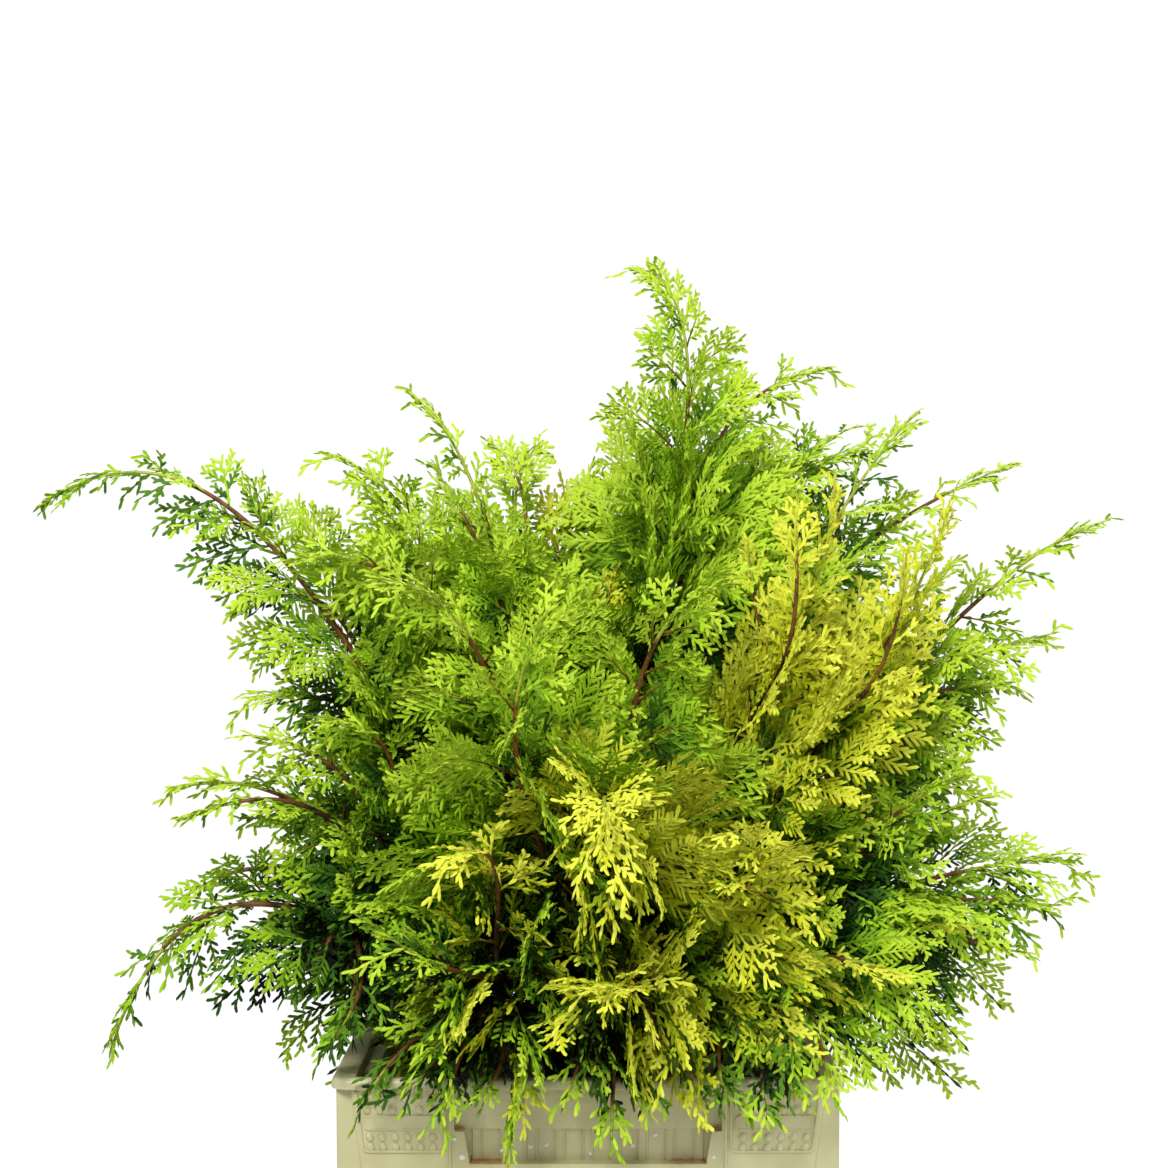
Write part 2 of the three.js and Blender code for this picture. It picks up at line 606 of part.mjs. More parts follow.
function nearest(point, samples) {
  let best = Infinity;
  for (const s of samples) best = Math.min(best, point.distanceToSquared(s));
  return Math.sqrt(best);
}

// The room the tub takes up, which no blade enters.
function tubRoom() {
  const sizes = [...RIM_HALF.map((half) => 2 * (half + TUB_CLEARANCE)), TUB_HEIGHT + TUB_CLEARANCE];
  return wasm.Manifold.cube(sizes).translate([-sizes[0] / 2, -sizes[1] / 2, 0]);
}

// A blade keeps to the space nearer its own mass's stems than any other's.
function fits(spray, own, others) {
  return bladeProbes(spray).every((p) => nearest(p, own) + CELL_MARGIN < nearest(p, others));
}

function massSolid(members, all) {
  const own = members.flatMap((s) => s.samples);
  const others = all.filter((s) => s.mass !== members[0].mass).flatMap((s) => s.samples);
  const pieces = [];
  const blades = [];
  const keepOut = tubRoom();
  for (const shoot of members) {
    const first = shoot.bare + (shoot.parent ? 0 : GAP / shoot.length);
    pieces.push(solid(limb(shoot, first, 1, 4, STEM_STEPS[shoot.rank])));
    const along = shoot.curve.getTangentAt(1);
    const lateral = vec(-along.y, along.x, 0).normalize();
    const apex = {
      share: 1, root: onChord(shoot, first, APEX.from), along, way: along, lateral,
      length: shoot.length * (1 - APEX.from) + APEX.past, bend: vec(0, 0, 0),
    };
    const sprays = spraysOf(shoot);
    const step = Math.max(sprays.length / SPRAYS_CARRIED[shoot.rank], 1);
    const chosen = sprays.filter((s) => Math.floor(s.index / step) !== Math.floor((s.index - 1) / step));
    for (const spray of chosen) {
      spray.root = onChord(shoot, first, Math.max(lerp(shoot.bare, 1, spray.share), first));
      spray.length *= LARGER;
    }
    for (const spray of [apex, ...chosen.reverse()]) {
      spray.sunk = radiusAt(shoot, lerp(shoot.bare, 1, spray.share)) * BLADE.sunk;
      for (const [turn, trim] of ROLLS_AND_TRIMS) {
        const trial = turned(spray, turn, trim);
        if (!fits(trial, own, others)) continue;
        const blade = bladeSolid(trial);
        if ([keepOut, ...blades].some((other) => !other.intersect(blade).isEmpty())) continue;
        blades.push(blade);
        break;
      }
    }
  }
  // Where crossing blades shut in a hollow or cut off a scrap, only the outer body is kept.
  const bodies = wasm.Manifold.union([...pieces, ...blades]).simplify(FUSE_TOLERANCE).decompose();
  return bodies.sort((a, b) => b.volume() - a.volume())[0];
}

// Assembly

addNode("tub", geometryOf(tubSolid()), TUB_COLOUR, 0.55);
addNode("compost", geometryOf(compostSolid()), SOIL_COLOUR, 1);
addNode("stool", geometryOf(stoolSolid(0)), BARK_COLOUR, 0.9);

const shoots = growShoots();
const seatRoom = stoolSolid(GAP);
for (const main of shoots.filter((s) => !s.parent)) {
  const members = shoots.filter((s) => s.mass === main.name);
  const bough = solid(limb(main, 0, main.bare, 5, 2)).subtract(seatRoom);
  addNode("bough_" + main.name, geometryOf(bough), BARK_COLOUR, 0.85);
  addNode("foliage_" + main.name, geometryOf(massSolid(members, shoots)), TINTS[main.tint], 0.7);
}

export default parts;
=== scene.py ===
# A golden plumosa sawara cypress in a cream plastic flower tub: the looks, built round the packed
# solids. Shoots, sprays and leaves grow by the part's own rule, carried on to branchlets and scale
# leaves. The rule works in millimetres with +Z up, and every mesh is scaled to metres as it is made.

import json
import math

import bmesh
import bpy
import numpy as np
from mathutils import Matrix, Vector

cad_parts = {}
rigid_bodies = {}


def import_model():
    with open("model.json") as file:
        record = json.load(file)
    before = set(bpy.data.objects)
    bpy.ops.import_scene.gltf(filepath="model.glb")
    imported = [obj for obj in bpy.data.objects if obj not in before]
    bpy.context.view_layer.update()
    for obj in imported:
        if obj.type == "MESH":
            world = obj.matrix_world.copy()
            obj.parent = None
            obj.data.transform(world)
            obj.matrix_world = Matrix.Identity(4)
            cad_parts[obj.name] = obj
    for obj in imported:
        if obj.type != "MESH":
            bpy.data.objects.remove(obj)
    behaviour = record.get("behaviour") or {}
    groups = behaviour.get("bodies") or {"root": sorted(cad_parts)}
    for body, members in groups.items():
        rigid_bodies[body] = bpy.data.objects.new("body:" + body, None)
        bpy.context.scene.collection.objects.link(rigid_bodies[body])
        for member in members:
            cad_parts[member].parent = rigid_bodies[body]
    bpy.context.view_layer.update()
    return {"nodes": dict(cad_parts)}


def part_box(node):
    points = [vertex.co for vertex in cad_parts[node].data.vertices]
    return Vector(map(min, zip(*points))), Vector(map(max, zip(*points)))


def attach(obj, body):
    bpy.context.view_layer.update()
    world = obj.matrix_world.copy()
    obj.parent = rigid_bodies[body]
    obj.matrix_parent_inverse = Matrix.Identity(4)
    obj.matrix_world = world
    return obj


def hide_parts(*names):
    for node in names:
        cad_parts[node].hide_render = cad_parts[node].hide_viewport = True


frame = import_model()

MM = 0.001
SEED = 20
WELD = 0.00001  # metres

# Sizes that come from the solids
TUB_HIGH = np.array(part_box("tub")[1]) / MM
RIM_HALF, TUB_HEIGHT = TUB_HIGH[:2], TUB_HIGH[2]
COMPOST_FOOT, SOIL_TOP = (corner[2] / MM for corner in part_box("compost"))
STOOL_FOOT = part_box("stool")[0][2] / MM
BOUGH_NODES = sorted(n for n in frame["nodes"] if n.startswith("bough_"))
FOLIAGE_NODES = sorted(n for n in frame["nodes"] if n.startswith("foliage_"))

# Driving sizes of the plant, as in the solids
STOOL = {"centre": 338, "radius": 42, "waist": 35, "flare": 52, "flare_height": 26}
CENTRE = np.array((0.0, 0.0, STOOL["centre"]))  # where the boughs' ways meet
# The boughs' seats on the stool: the least angle between two and above the level, how deep they sit, how
# a bough's rise follows from its tip's, and in how many rounds and how hard crowded seats are pushed apart
SEAT = {
    "spacing": 17, "lowest": 14, "depth": 3, "rise": (0.75, 20), "over_lowest": 6, "rounds": 200,
    "push": 0.55,
}
BOUGH_RADIUS = 5.2  # at the seat
STEM_TIP_RADIUS = 1.5
BARE = 0.25  # share of a bough that carries no full sprays
SET_OFF = 0.36  # how far a shoot runs on the way it sets off, as a share of its reach
# Bark: how deep its ridges are on the stool and the boughs, the points round each, the rings along a
# bough, how far it runs into its foliage, and how much thicker it is at its seat, over which share
BARK = {
    "stool": 0.03, "bough": 0.075, "stool_sides": 72, "bough_sides": 14, "bough_rings": 46, "over": 0.004,
    "thicker": 1.28, "thicker_over": 0.05,
}
# Stems inside the foliage: steps along them, how slim beside the solids' own stems and at their tips,
# how deep the ridges; the shortest spray with a woody foot, its rings as shares of the spray, and its
# radius, to which each millimetre of the spray adds a little
STEM = {
    "step": 5, "slim": 0.78, "tip": 0.5, "relief": 0.05, "least_spray": 45,
    "foot_shares": (0.0, 0.2, 0.42, 0.66), "foot_radius": (0.8, 0.006),
}
# Each stretch of stem: where along the shoot it starts and stops, and the points round it
STRETCHES = {"stems_old": (0, 0.42, 8), "stems_young": (0.41, 0.8, 6), "stem_tips": (0.79, 1, 6)}
# Sprays along a shoot, as in the solids: how many at least, how far apart, how their length follows from
# the shoot's and from how near the tip they are, at what angle they leave, how much they vary, and how
# they bend; then what is other on an upright golden plume
SPRAY = {
    "fewest": 5, "pitch": 12, "slender": 82, "tip_gain": 0.45, "fullest": 300, "leave": (60, 34),
    "leave_spread": 16, "roll_spread": 40, "tilt_spread": 70, "length_spread": 0.3, "droop": -0.34,
    "sweep": 0.12, "upright_over": 45, "upright_less": 14, "upright_droop": 0.06,
}
GOLDEN_ANGLE = 137.5  # degrees from one spray round to the next
# The last stretch of a shoot, which carries leaves itself: how much of it at most, how long, how bright
APEX = {"share": 0.3, "length": 75, "glow": 0.9}
# The fan behind: how many shoots, over which headings, how steep in turn, how far they reach, how much
# less at its two ends, how flat the fan is, and how each fork differs from its shoot
BACK = {
    "count": 7, "headings": (12, 168), "tiers": (30, 58, 14), "tier_spread": 10, "reach": 500,
    "vary": (0.92, 0.16), "ends": 0.34, "squash": (0.86, 0.12), "stretch": 1.08, "nod": 120,
    "spray": 160, "tints": ("lime", "green", "gold"),
    "fork": {"turn": 15, "steeper": 17, "reach": 0.9, "nod": 100, "at": 0.45},
}

# The leading shoots: name, tip, heading and pitch of the tip, how long a stretch curves that way,
# length of the longest sprays, tint, and for a fork the shoot it leaves and where along it.
SHOOTS = [
    ("top_leader", (38, 60, 982), 180, 8, 115, 135, "lime"),
    ("top_right", (210, 90, 899), 0, 5, 100, 130, "lime", "top_leader", 0.5),
    ("top_fan", (128, 120, 842), 50, 50, 100, 125, "green", "top_leader", 0.36),
    ("top_shoulder", (214, 100, 840), 15, 28, 80, 160, "green", "top_leader", 0.42),
    ("right_upper", (283, 80, 861), 10, 42, 120, 115, "green"),
    ("right_thin", (369, 100, 818), 0, 22, 110, 105, "lime", "right_upper", 0.5),
    ("right_leader", (434, 10, 767), 0, 14, 120, 105, "lime"),
    ("right_fan", (395, 40, 673), 0, 15, 120, 120, "green", "right_leader", 0.45),
    ("right_inner", (350, -10, 632), 0, 0, 100, 140, "lime", "right_leader", 0.36),
    ("gold_mid", (198, -70, 797), 60, 84, 170, 105, "gold"),
    ("gold_left", (128, -50, 750), 150, 80, 120, 100, "gold", "gold_mid", 0.45),
    ("gold_second", (164, -100, 780), 120, 84, 120, 95, "gold", "gold_mid", 0.52),
    ("gold_right", (294, -50, 782), 20, 74, 150, 115, "gold"),
    ("gold_inner", (254, -90, 742), 60, 80, 120, 100, "gold", "gold_right", 0.5),
    ("right_low", (389, -20, 489), 0, 4, 130, 170, "lime"),
    ("right_mid", (304, -90, 566), -10, 25, 110, 140, "lime", "right_low", 0.3),
    ("right_bottom", (306, -80, 440), -15, 0, 90, 95, "gold", "right_low", 0.42),
    ("right_skirt", (384, -40, 452), -5, -4, 100, 135, "lime", "right_low", 0.36),
    ("bottom_right", (246, -150, 408), -35, -18, 100, 92, "gold"),
    ("right_hang", (156, -196, 340), -88, -42, 80, 125, "green", "bottom_right", 0.42),
    ("front_mid_right", (104, -230, 530), 215, 20, 110, 160, "gold"),
    ("front_centre", (9, -288, 522), -98, -55, 130, 170, "gold"),
    ("front_left_plume", (-29, -200, 698), 20, 60, 150, 160, "lime"),
    ("mid_left", (-161, -150, 718), 190, 8, 120, 140, "lemon"),
    ("mid_centre", (116, -120, 718), 5, 12, 120, 150, "lime"),
    ("left_leader", (-151, 0, 873), 180, 28, 95, 105, "lime"),
    ("left_curl", (-84, 40, 836), 160, 38, 80, 115, "lime", "left_leader", 0.5),
    ("centre_curl", (-38, 70, 836), 30, 35, 90, 120, "lime"),
    ("centre_dark", (4, 90, 818), 20, 75, 100, 120, "green", "centre_curl", 0.5),
    ("left_upper", (-215, 20, 822), 180, 18, 130, 145, "lemon"),
    ("left_shoulder", (-244, -70, 732), 180, -12, 110, 140, "lemon", "left_upper", 0.42),
    ("left_plume", (-188, -10, 798), 165, 46, 90, 140, "lemon", "left_upper", 0.5),
    ("left_long", (-455, 0, 777), 180, -36, 230, 92, "green"),
    ("left_mid", (-292, 10, 690), 180, -28, 100, 115, "green", "left_long", 0.42),
    ("left_low", (-338, -60, 548), 180, -18, 120, 122, "lime"),
    ("left_fan", (-218, -95, 604), 180, -5, 100, 130, "lemon", "left_low", 0.34),
    ("left_hanging", (-382, -80, 340), 186, -72, 240, 105, "deep"),
    ("left_skirt", (-325, -60, 462), 185, -32, 100, 105, "green", "left_hanging", 0.42),
    ("left_bottom", (-200, -165, 362), 225, -32, 90, 120, "deep", "left_hanging", 0.36),
    ("front_left_low", (-161, -230, 459), 165, 35, 110, 150, "green"),
    ("front_left_gold", (-109, -260, 503), 215, -32, 100, 135, "gold", "front_left_low", 0.45),
    ("front_bottom_left", (-126, -202, 352), 235, -28, 100, 140, "green"),
    ("front_bottom", (-17, -260, 415), 195, 0, 110, 150, "gold"),
    ("front_hang_gold", (60, -206, 346), -75, -40, 100, 145, "gold", "front_bottom", 0.45),
    ("front_hang", (8, -198, 342), -90, -40, 90, 138, "green", "front_bottom_left", 0.42),
]

# Side shoots finer than the solids carry: more of the golden front, growth in the outline's gaps, and a
# fringe over the tub's rim
SIDE_SHOOTS = [
    ("front_centre_low", (12, -262, 466), 250, -48, 90, 130, "gold", "front_centre", 0.5),
    ("left_fill", (-266, -70, 590), 180, 4, 90, 150, "lemon", "left_low", 0.36),
    ("left_gap", (-280, -20, 620), 185, -10, 80, 140, "green", "left_long", 0.3),
    ("left_low_twin", (-330, -72, 524), 180, -22, 100, 100, "lime", "left_low", 0.5),
    ("right_gap", (338, -20, 540), 0, 6, 80, 112, "lime", "right_low", 0.42),
    ("left_low_fill", (-238, -105, 396), 210, -35, 90, 120, "deep", "left_hanging", 0.42),
    ("top_fill", (238, 92, 832), 5, 20, 80, 150, "green", "top_leader", 0.4),
    ("upper_fill", (-130, 0, 814), 150, 50, 80, 120, "lemon", "left_leader", 0.4),
    ("right_fill", (312, 30, 738), 20, 40, 80, 112, "lime", "right_leader", 0.42),
    ("right_skirt_low", (362, -50, 414), 0, -6, 80, 100, "lime", "right_low", 0.45),
    ("rim_left", (-208, -140, 345), 215, -40, 80, 120, "deep", "left_hanging", 0.36),
    ("rim_1", (-172, -174, 316), 235, -46, 80, 125, "green", "front_bottom_left", 0.4),
    ("rim_2", (-112, -186, 306), -110, -52, 80, 128, "green", "front_bottom_left", 0.42),
    ("rim_3", (-50, -186, 308), -95, -52, 80, 122, "gold", "front_bottom_left", 0.36),
    ("rim_4", (18, -184, 288), -90, -64, 80, 125, "green", "front_bottom", 0.4),
    ("rim_5", (84, -186, 306), -85, -52, 80, 122, "gold", "front_bottom", 0.36),
    ("rim_6", (136, -186, 304), -80, -52, 80, 125, "lime", "bottom_right", 0.38),
    ("rim_7", (188, -180, 320), -80, -42, 80, 115, "green", "bottom_right", 0.45),
    ("rim_8", (-148, -184, 322), 215, -26, 70, 125, "deep", "front_bottom_left", 0.34),
    ("rim_9", (-84, -190, 320), -125, -26, 70, 125, "green", "front_bottom_left", 0.38),
    ("rim_10", (-16, -192, 320), -100, -28, 70, 125, "lemon", "front_bottom", 0.36),
    ("rim_11", (50, -192, 318), -80, -28, 70, 125, "deep", "front_bottom", 0.38),
    ("rim_12", (110, -192, 320), -60, -26, 70, 125, "green", "bottom_right", 0.34),
    ("rim_13", (162, -188, 322), -50, -24, 70, 120, "green", "bottom_right", 0.42),
]

# Sprays on the bare boughs, which fill the crown's inside and hang over the tub's rim
LOW_SPRAY = {"from": 0.05, "pitch": 6, "share": 0.95}

# How the growth goes on past the sprays: where on the parent cord branchlets leave, how far apart,
# at what angle, how long they are as a share of the parent, and how they curve.
# Their last key brightens each towards its spray's end: younger growth, and less painted shade than at the
# spray's foot
BRANCHLETS = {
    "from": 0.08, "to": 0.97, "pitch": 7, "leave": (50, 34), "leave_spread": 8, "reach": 0.42,
    "longest": 58, "shortest": 9, "swell": 0.3, "tip_share": 0.26, "length_spread": 0.3,
    "lift": 0.14, "sweep": 0.24, "droop": -0.12, "youth": 1.3,
}
TWIGLETS = {
    "from": 0.08, "to": 0.98, "pitch": 2.8, "leave": (52, 34), "leave_spread": 7, "reach": 0.3,
    "longest": 11.5, "shortest": 5.5, "swell": 0.35, "tip_share": 0.6, "length_spread": 0.3,
    "lift": 0.18, "sweep": 0.22, "droop": -0.04, "youth": 0.7,
}
INNER_BRANCHLETS = BRANCHLETS | {"pitch": 8.5}
TWIGLETS_FROM = 12  # a branchlet shorter than this stays unbranched
# How far growth strays from even places, how long it is at its parent's foot, and how its leaves vary
BRANCHING = {"wander": 0.25, "lowest": 0.7, "swell": (0.88, 1.06)}

# Keeled leaves, overlapping like scales: about how far apart, how far each starts behind its place and
# covers its neighbour, half its width, where along it its side corners stand out and by what share of
# that, where its keel's top is and how high, its width at the cord's tip, and how it rolls in degrees
AXIS_LEAF = {
    "step": 8.5, "back": 2, "overlap": 1.4, "half": 1.8, "sides": ((0.74, 1),), "keel_at": 0.74,
    "keel": 1.2, "at_tip": 0.85, "roll": 25, "unruly": 8,
}
FINGER_LEAF = {
    "step": 16, "back": 2.2, "overlap": 1.1, "half": 1.55, "sides": ((0.38, 0.88), (0.86, 0.92)),
    "keel_at": 0.68, "keel": 1.2, "at_tip": 1, "roll": 0, "unruly": 16,
}
INNER_LEAF = {
    "step": 9, "back": 2, "overlap": 1.4, "half": 2.6, "sides": ((0.74, 1),), "keel_at": 0.74,
    "keel": 1.3, "at_tip": 0.9, "roll": 35, "unruly": 20,
}
GOLDEN_PLUMPER = 1.05  # golden fingers beside the green ones
INNER = 0.5  # sprays nearer the middle than this share of the crown's reach are in deep shade
LEAF_FURTHEST = 1.02  # as a share of its cord
FACES_UP = 0.8  # how much a leaf's keel faces up, beside outwards
# How far growth keeps off the tub's outside, in its mouth from the rim's outside, and off the compost,
# in millimetres
CLEARANCE = {"tub": 3, "mouth": 24, "compost": 2}
# The crown's edge: the angle round a place within which growth is compared, which share of it reaches
# furthest and sets the edge, and how many places are worked out at a time
CROWN = {"cone": 14, "furthest": 0.12, "batch": 400}
# Shade among the sprays: the side of the cells that growth is counted in, the distances outwards and up
# at which it is counted, how much the light comes from above, how fast growth darkens, and the share of
# cords, in hundredths, that sets how much growth counts as thick
SHADE = {"cell": 15, "at": (20, 34, 48, 64, 84, 108, 140), "above": 0.8, "dimming": 2.2, "thick": 75}
# How dark a leaf's painted shade is: with nothing to light it, what openness, young growth and the lesser
# painted shade towards a spray's end, and nearness to a tip take off, the darkest it gets, and how soon
# a hollow's edge is at its full
DARKNESS = {"most": 0.98, "open": 0.8, "young": 0.36, "near_tip": 0.1, "darkest": 0.999, "edge": 1.3}

# Leaf colours from the brightest tips to the shade, each with its slot
LEAF_COLOURS = {
    "straw": ("#e0e448", "gold_foliage"),
    "gold": ("#cdd42a", "gold_foliage"),
    "amber": ("#a4b823", "gold_foliage"),
    "olive": ("#6e8c19", "gold_foliage"),
    "bronze": ("#3f550e", "gold_foliage"),
    "citrus": ("#bedb3a", "lime_foliage"),
    "lime": ("#a5cc26", "lime_foliage"),
    "meadow": ("#80ab20", "lime_foliage"),
    "fern": ("#568119", "green_foliage"),
    "moss": ("#345e13", "green_foliage"),
    "pine": ("#20400e", "deep_green_foliage"),
    "shade": ("#121f08", "deep_green_foliage"),
    "dusk": ("#0a1204", "deep_green_foliage"),
}
# Each tint's colours, from fully lit to the deepest shade
LEAF_SCALES = {
    "gold": ("straw", "straw", "straw", "gold", "gold", "gold", "amber", "olive", "bronze"),
    "lemon": ("citrus", "citrus", "citrus", "lime", "lime", "lime", "meadow", "fern", "moss"),
    "lime": ("citrus", "citrus", "lime", "lime", "meadow", "meadow", "fern", "moss", "pine"),
    "green": ("citrus", "lime", "lime", "meadow", "fern", "fern", "moss", "pine", "shade"),
    # The deep tint is painted shade, for low shoots under the growth above them
    "deep": ("lime", "meadow", "fern", "fern", "moss", "moss", "pine", "shade", "dusk"),
}
# The light falls off down the crown, most under thick growth: from no change at one height to the most
# at another; above the first it is a little brighter.
DUSK = {"from": 560, "to": 400, "most": 0.31, "thick": 1.3, "above": 0.05}
# Hollows between the plumes, where the growth lies in deep shade, and plumes that stand free in the
# light: the middle, how far it reaches, and how much darker
HOLLOWS = (
    ((-135, -210, 478), 80, 0.34), ((35, -215, 590), 62, 0.4), ((112, -200, 348), 75, 0.42),
    ((-34, -225, 416), 60, 0.34), ((-78, -205, 462), 60, 0.26), ((10, -120, 735), 58, 0.22),
    ((-205, -120, 425), 95, 0.3), ((-205, -140, 505), 50, 0.18), ((-160, -185, 345), 60, 0.3),
    ((140, -190, 402), 60, 0.38), ((-92, -190, 690), 50, 0.26), ((165, -100, 640), 95, -0.24),
    ((85, 10, 745), 100, -0.36), ((-25, -240, 515), 50, -0.26), ((-130, -190, 590), 60, -0.2),
    ((-400, 0, 760), 150, 0.4), ((-180, -178, 340), 72, 0.3), ((-60, -230, 565), 50, -0.2),
    ((62, -200, 655), 50, 0.2), ((190, -110, 560), 60, -0.16), ((-10, -230, 468), 40, -0.16),
    ((80, -195, 334), 46, 0.22), ((130, -188, 350), 56, 0.26), ((5, -230, 350), 46, -0.16),
    ((330, -90, 455), 60, -0.1),
)
LARGEST_PIECE = 190_000  # triangles

# The tub, as in the solids. Drops are down from the rim's top; pairs are for the long walls and the
# two ends, or the first and last drop. Its skin has rows of points at the inner and the outer drops.
TUB = {
    "rim_height": 10.5, "top_half": (185, 144), "base_half": (146, 107), "corner": 3,
    "inner_corner": 2.5, "corner_turns": (15, 45, 75), "straight": (110, 70), "edge": 0.55,
    "top_drop": 8, "wall": 4, "floor": 5, "foot_round": 2.2, "rim_corner": 14, "sunk": 1.2,
    "crease": math.radians(32),
    "inner_drops": (20, 40, 45, 49, 71, 75, 110, 170, 240),
    "outer_drops": (20, 30, 50, 60, 100, 140, 190, 250, 300),
}
CORNERS = ((1, -1), (1, 1), (-1, 1), (-1, -1))
GRIP = {"half": (104, 56), "drop": (12, 42), "deep": 7}
NICHE = {"half": (96, 92), "low": 68, "deep": 11}
FLUTE = {"pitch": 21.6, "count": 9}
# A flute's section: how far from its middle, and how far it stands out
FLUTE_SECTION = ((0, 0.9), (2.4, 0.9), (2.9, 2.1), (3.6, 2.1), (4.3, 0))
BACKING = {"margin": 5, "deep": 15}
BAND = {"drop": (78, 83), "proud": 2}
FLANGE = {"outer": 196, "inner": 160, "set_back": 2.5, "deep": 27, "drop": 122, "slant": 34, "round": 2.2}
BEAD = {"along": (107.4, 68), "drop": (12, 74), "width": 2.4, "proud": 1.6}
PANEL = {"along": (111.6, 180.6), "drop": (11, 58.5), "corner": 3.2, "line": 2.2, "proud": 1.5}
PLATE = {
    "along": (114.6, 178), "drop": (29.8, 41.6), "corner": 3.6, "border": 1.1, "proud": 1.2, "field": 0.5,
}
STUDS = {
    "count": 6, "first": 121.4, "pitch": 10.5, "drops": (16.4, 25.4, 47.2, 55), "radius": 3.5, "proud": 2.2,
    "sides": 12,
}
# The rim's section: which edge it is measured from, how far, and how far down
RIM_SECTION = [
    ("outer", 0, 4.5), ("outer", 0.3, 2.8), ("outer", 1.3, 1.3), ("outer", 2.7, 0.35),
    ("outer", 4.5, 0), ("inner", 0.9, 0), ("inner", 0.25, 0.35), ("inner", 0, 1.1), ("inner", 0, 13),
    ("inner", 3.6, 13), ("inner", 3.6, 8), ("outer", 3.2, 6.6), ("outer", 3.0, 8.2),
    ("outer", 1.6, 8.9), ("outer", 0.3, 8.4), ("outer", 0, 7.6),
]
# Stains on the long walls, in metres: drop, spread up and down, where along they start and stop; how
# strong
STAINS = (
    (0.0675, 0.0022, 0.056, 0.0935, 0.95),
    (0.0405, 0.0035, 0.084, 0.1035, 0.7),
    (0.0290, 0.0120, 0.097, 0.1035, 0.35),
)
DROPLETS = {
    "count": 12, "along": (0, 150), "drop": (46, 66), "radius": (1.6, 2.6), "proud": 0.6, "sunk": 0.3,
    "sides": 14, "crease": math.radians(80),
}
# The compost: its gap to the tub, how far its top is sunk, mounded and rough, its loose crumbs, the
# drops of its rows of points below, and its rings on top as shares of its edge
COMPOST = {
    "gap": 0.3, "sunk": 4.5, "swell": 2.2, "rough": 1.1, "crumbs": 420, "crumb_size": (1.2, 3.4),
    "drops": (240, 170, 110, 75, 71),
    "rings": (0.985, 0.95, 0.9, 0.84, 0.78, 0.71, 0.64, 0.56, 0.48, 0.4, 0.31, 0.22, 0.12, 0.05),
}

# The photo's frame
IMAGE_SIDE = 1168  # pixels
PIXEL = 0.775  # millimetres a pixel at the tub's front
TUB_FRONT = -150
CAMERA_DISTANCE = 2200
CAMERA_PLACE = (-3.1, TUB_FRONT - CAMERA_DISTANCE, 713.6)
SENSOR = 36
# Soft round lights, in metres and watts: name, place, what it is aimed at, size and power
LIGHTS = (
    ("key", (-0.8, -2.2, 2.3), (0, 0, 0.55), 1.0, 76),
    ("fill", (1.9, -1.2, 1.3), (0, 0, 0.5), 1.6, 20),
    ("back", (0.6, 1.9, 2.4), (0, 0, 0.6), 1.4, 34),
)
BACKDROP = {"seen": 1.05, "lit": 0.3}  # strength of the white, to the camera and as light


def lerp(a, b, share):
    return a + (b - a) * share


def smooth(share):
    """A soft step from 0 to 1."""
    t = np.clip(share, 0, 1)
    return t * t * (3 - 2 * t)


def dot(a, b):
    return np.sum(a * b, axis=-1, keepdims=True)


def unit(v):
    return v / np.maximum(np.linalg.norm(v, axis=-1, keepdims=True), 1e-9)


def column(values):
    return np.asarray(values, float)[..., None]


def circle(count):
    """Angles evenly spaced all the way round."""
    return np.arange(count) / count * 2 * math.pi


def direction(heading, pitch):
    """Unit vector for a heading and a pitch in degrees."""
    h, p = math.radians(heading), math.radians(pitch)
    return np.array((math.cos(h) * math.cos(p), math.sin(h) * math.cos(p), math.sin(p)))


# Camera, light and floor


def set_camera():
    camera = bpy.data.cameras.new("camera")
    camera.sensor_width = SENSOR
    camera.lens = SENSOR * CAMERA_DISTANCE / (IMAGE_SIDE * PIXEL)
    camera.clip_start = 0.05
    camera.clip_end = 50
    holder = bpy.data.objects.new("camera", camera)
    holder.location = Vector(CAMERA_PLACE) * MM
    holder.rotation_euler = (math.radians(90), 0, 0)
    bpy.context.scene.collection.objects.link(holder)
    bpy.context.scene.camera = holder


def add_light(name, place, target, size, power):
    light = bpy.data.lights.new(name, "AREA")
    light.shape = "DISK"
    light.size = size
    light.energy = power
    holder = bpy.data.objects.new(name, light)
    holder.location = place
    aim = Vector(target) - Vector(place)
    holder.rotation_euler = aim.to_track_quat("-Z", "Y").to_euler()
    bpy.context.scene.collection.objects.link(holder)


def set_studio():
    """White background, even soft light from all round, and the three soft lights."""
    world = bpy.data.worlds.new("studio")
    world.use_nodes = True
    tree = world.node_tree
    tree.nodes.clear()
    output = tree.nodes.new("ShaderNodeOutputWorld")
    mix = tree.nodes.new("ShaderNodeMixShader")
    path = tree.nodes.new("ShaderNodeLightPath")
    tree.links.new(path.outputs["Is Camera Ray"], mix.inputs["Fac"])
    for number, use in ((1, "lit"), (2, "seen")):
        white = tree.nodes.new("ShaderNodeBackground")
        white.inputs["Strength"].default_value = BACKDROP[use]
        white.inputs["Color"].default_value = (1, 1, 1, 1)
        tree.links.new(white.outputs["Background"], mix.inputs[number])
    tree.links.new(mix.outputs["Shader"], output.inputs["Surface"])
    scene = bpy.context.scene
    scene.world = world
    scene.view_settings.view_transform = "Standard"
    for light in LIGHTS:
        add_light(*light)


# Materials


def rgba(colour):
    """A hex colour as the linear values that a shader takes."""
    values = [int(colour[i : i + 2], 16) / 255 for i in (1, 3, 5)]
    linear = [v / 12.92 if v <= 0.04045 else ((v + 0.055) / 1.055) ** 2.4 for v in values]
    return (*linear, 1)


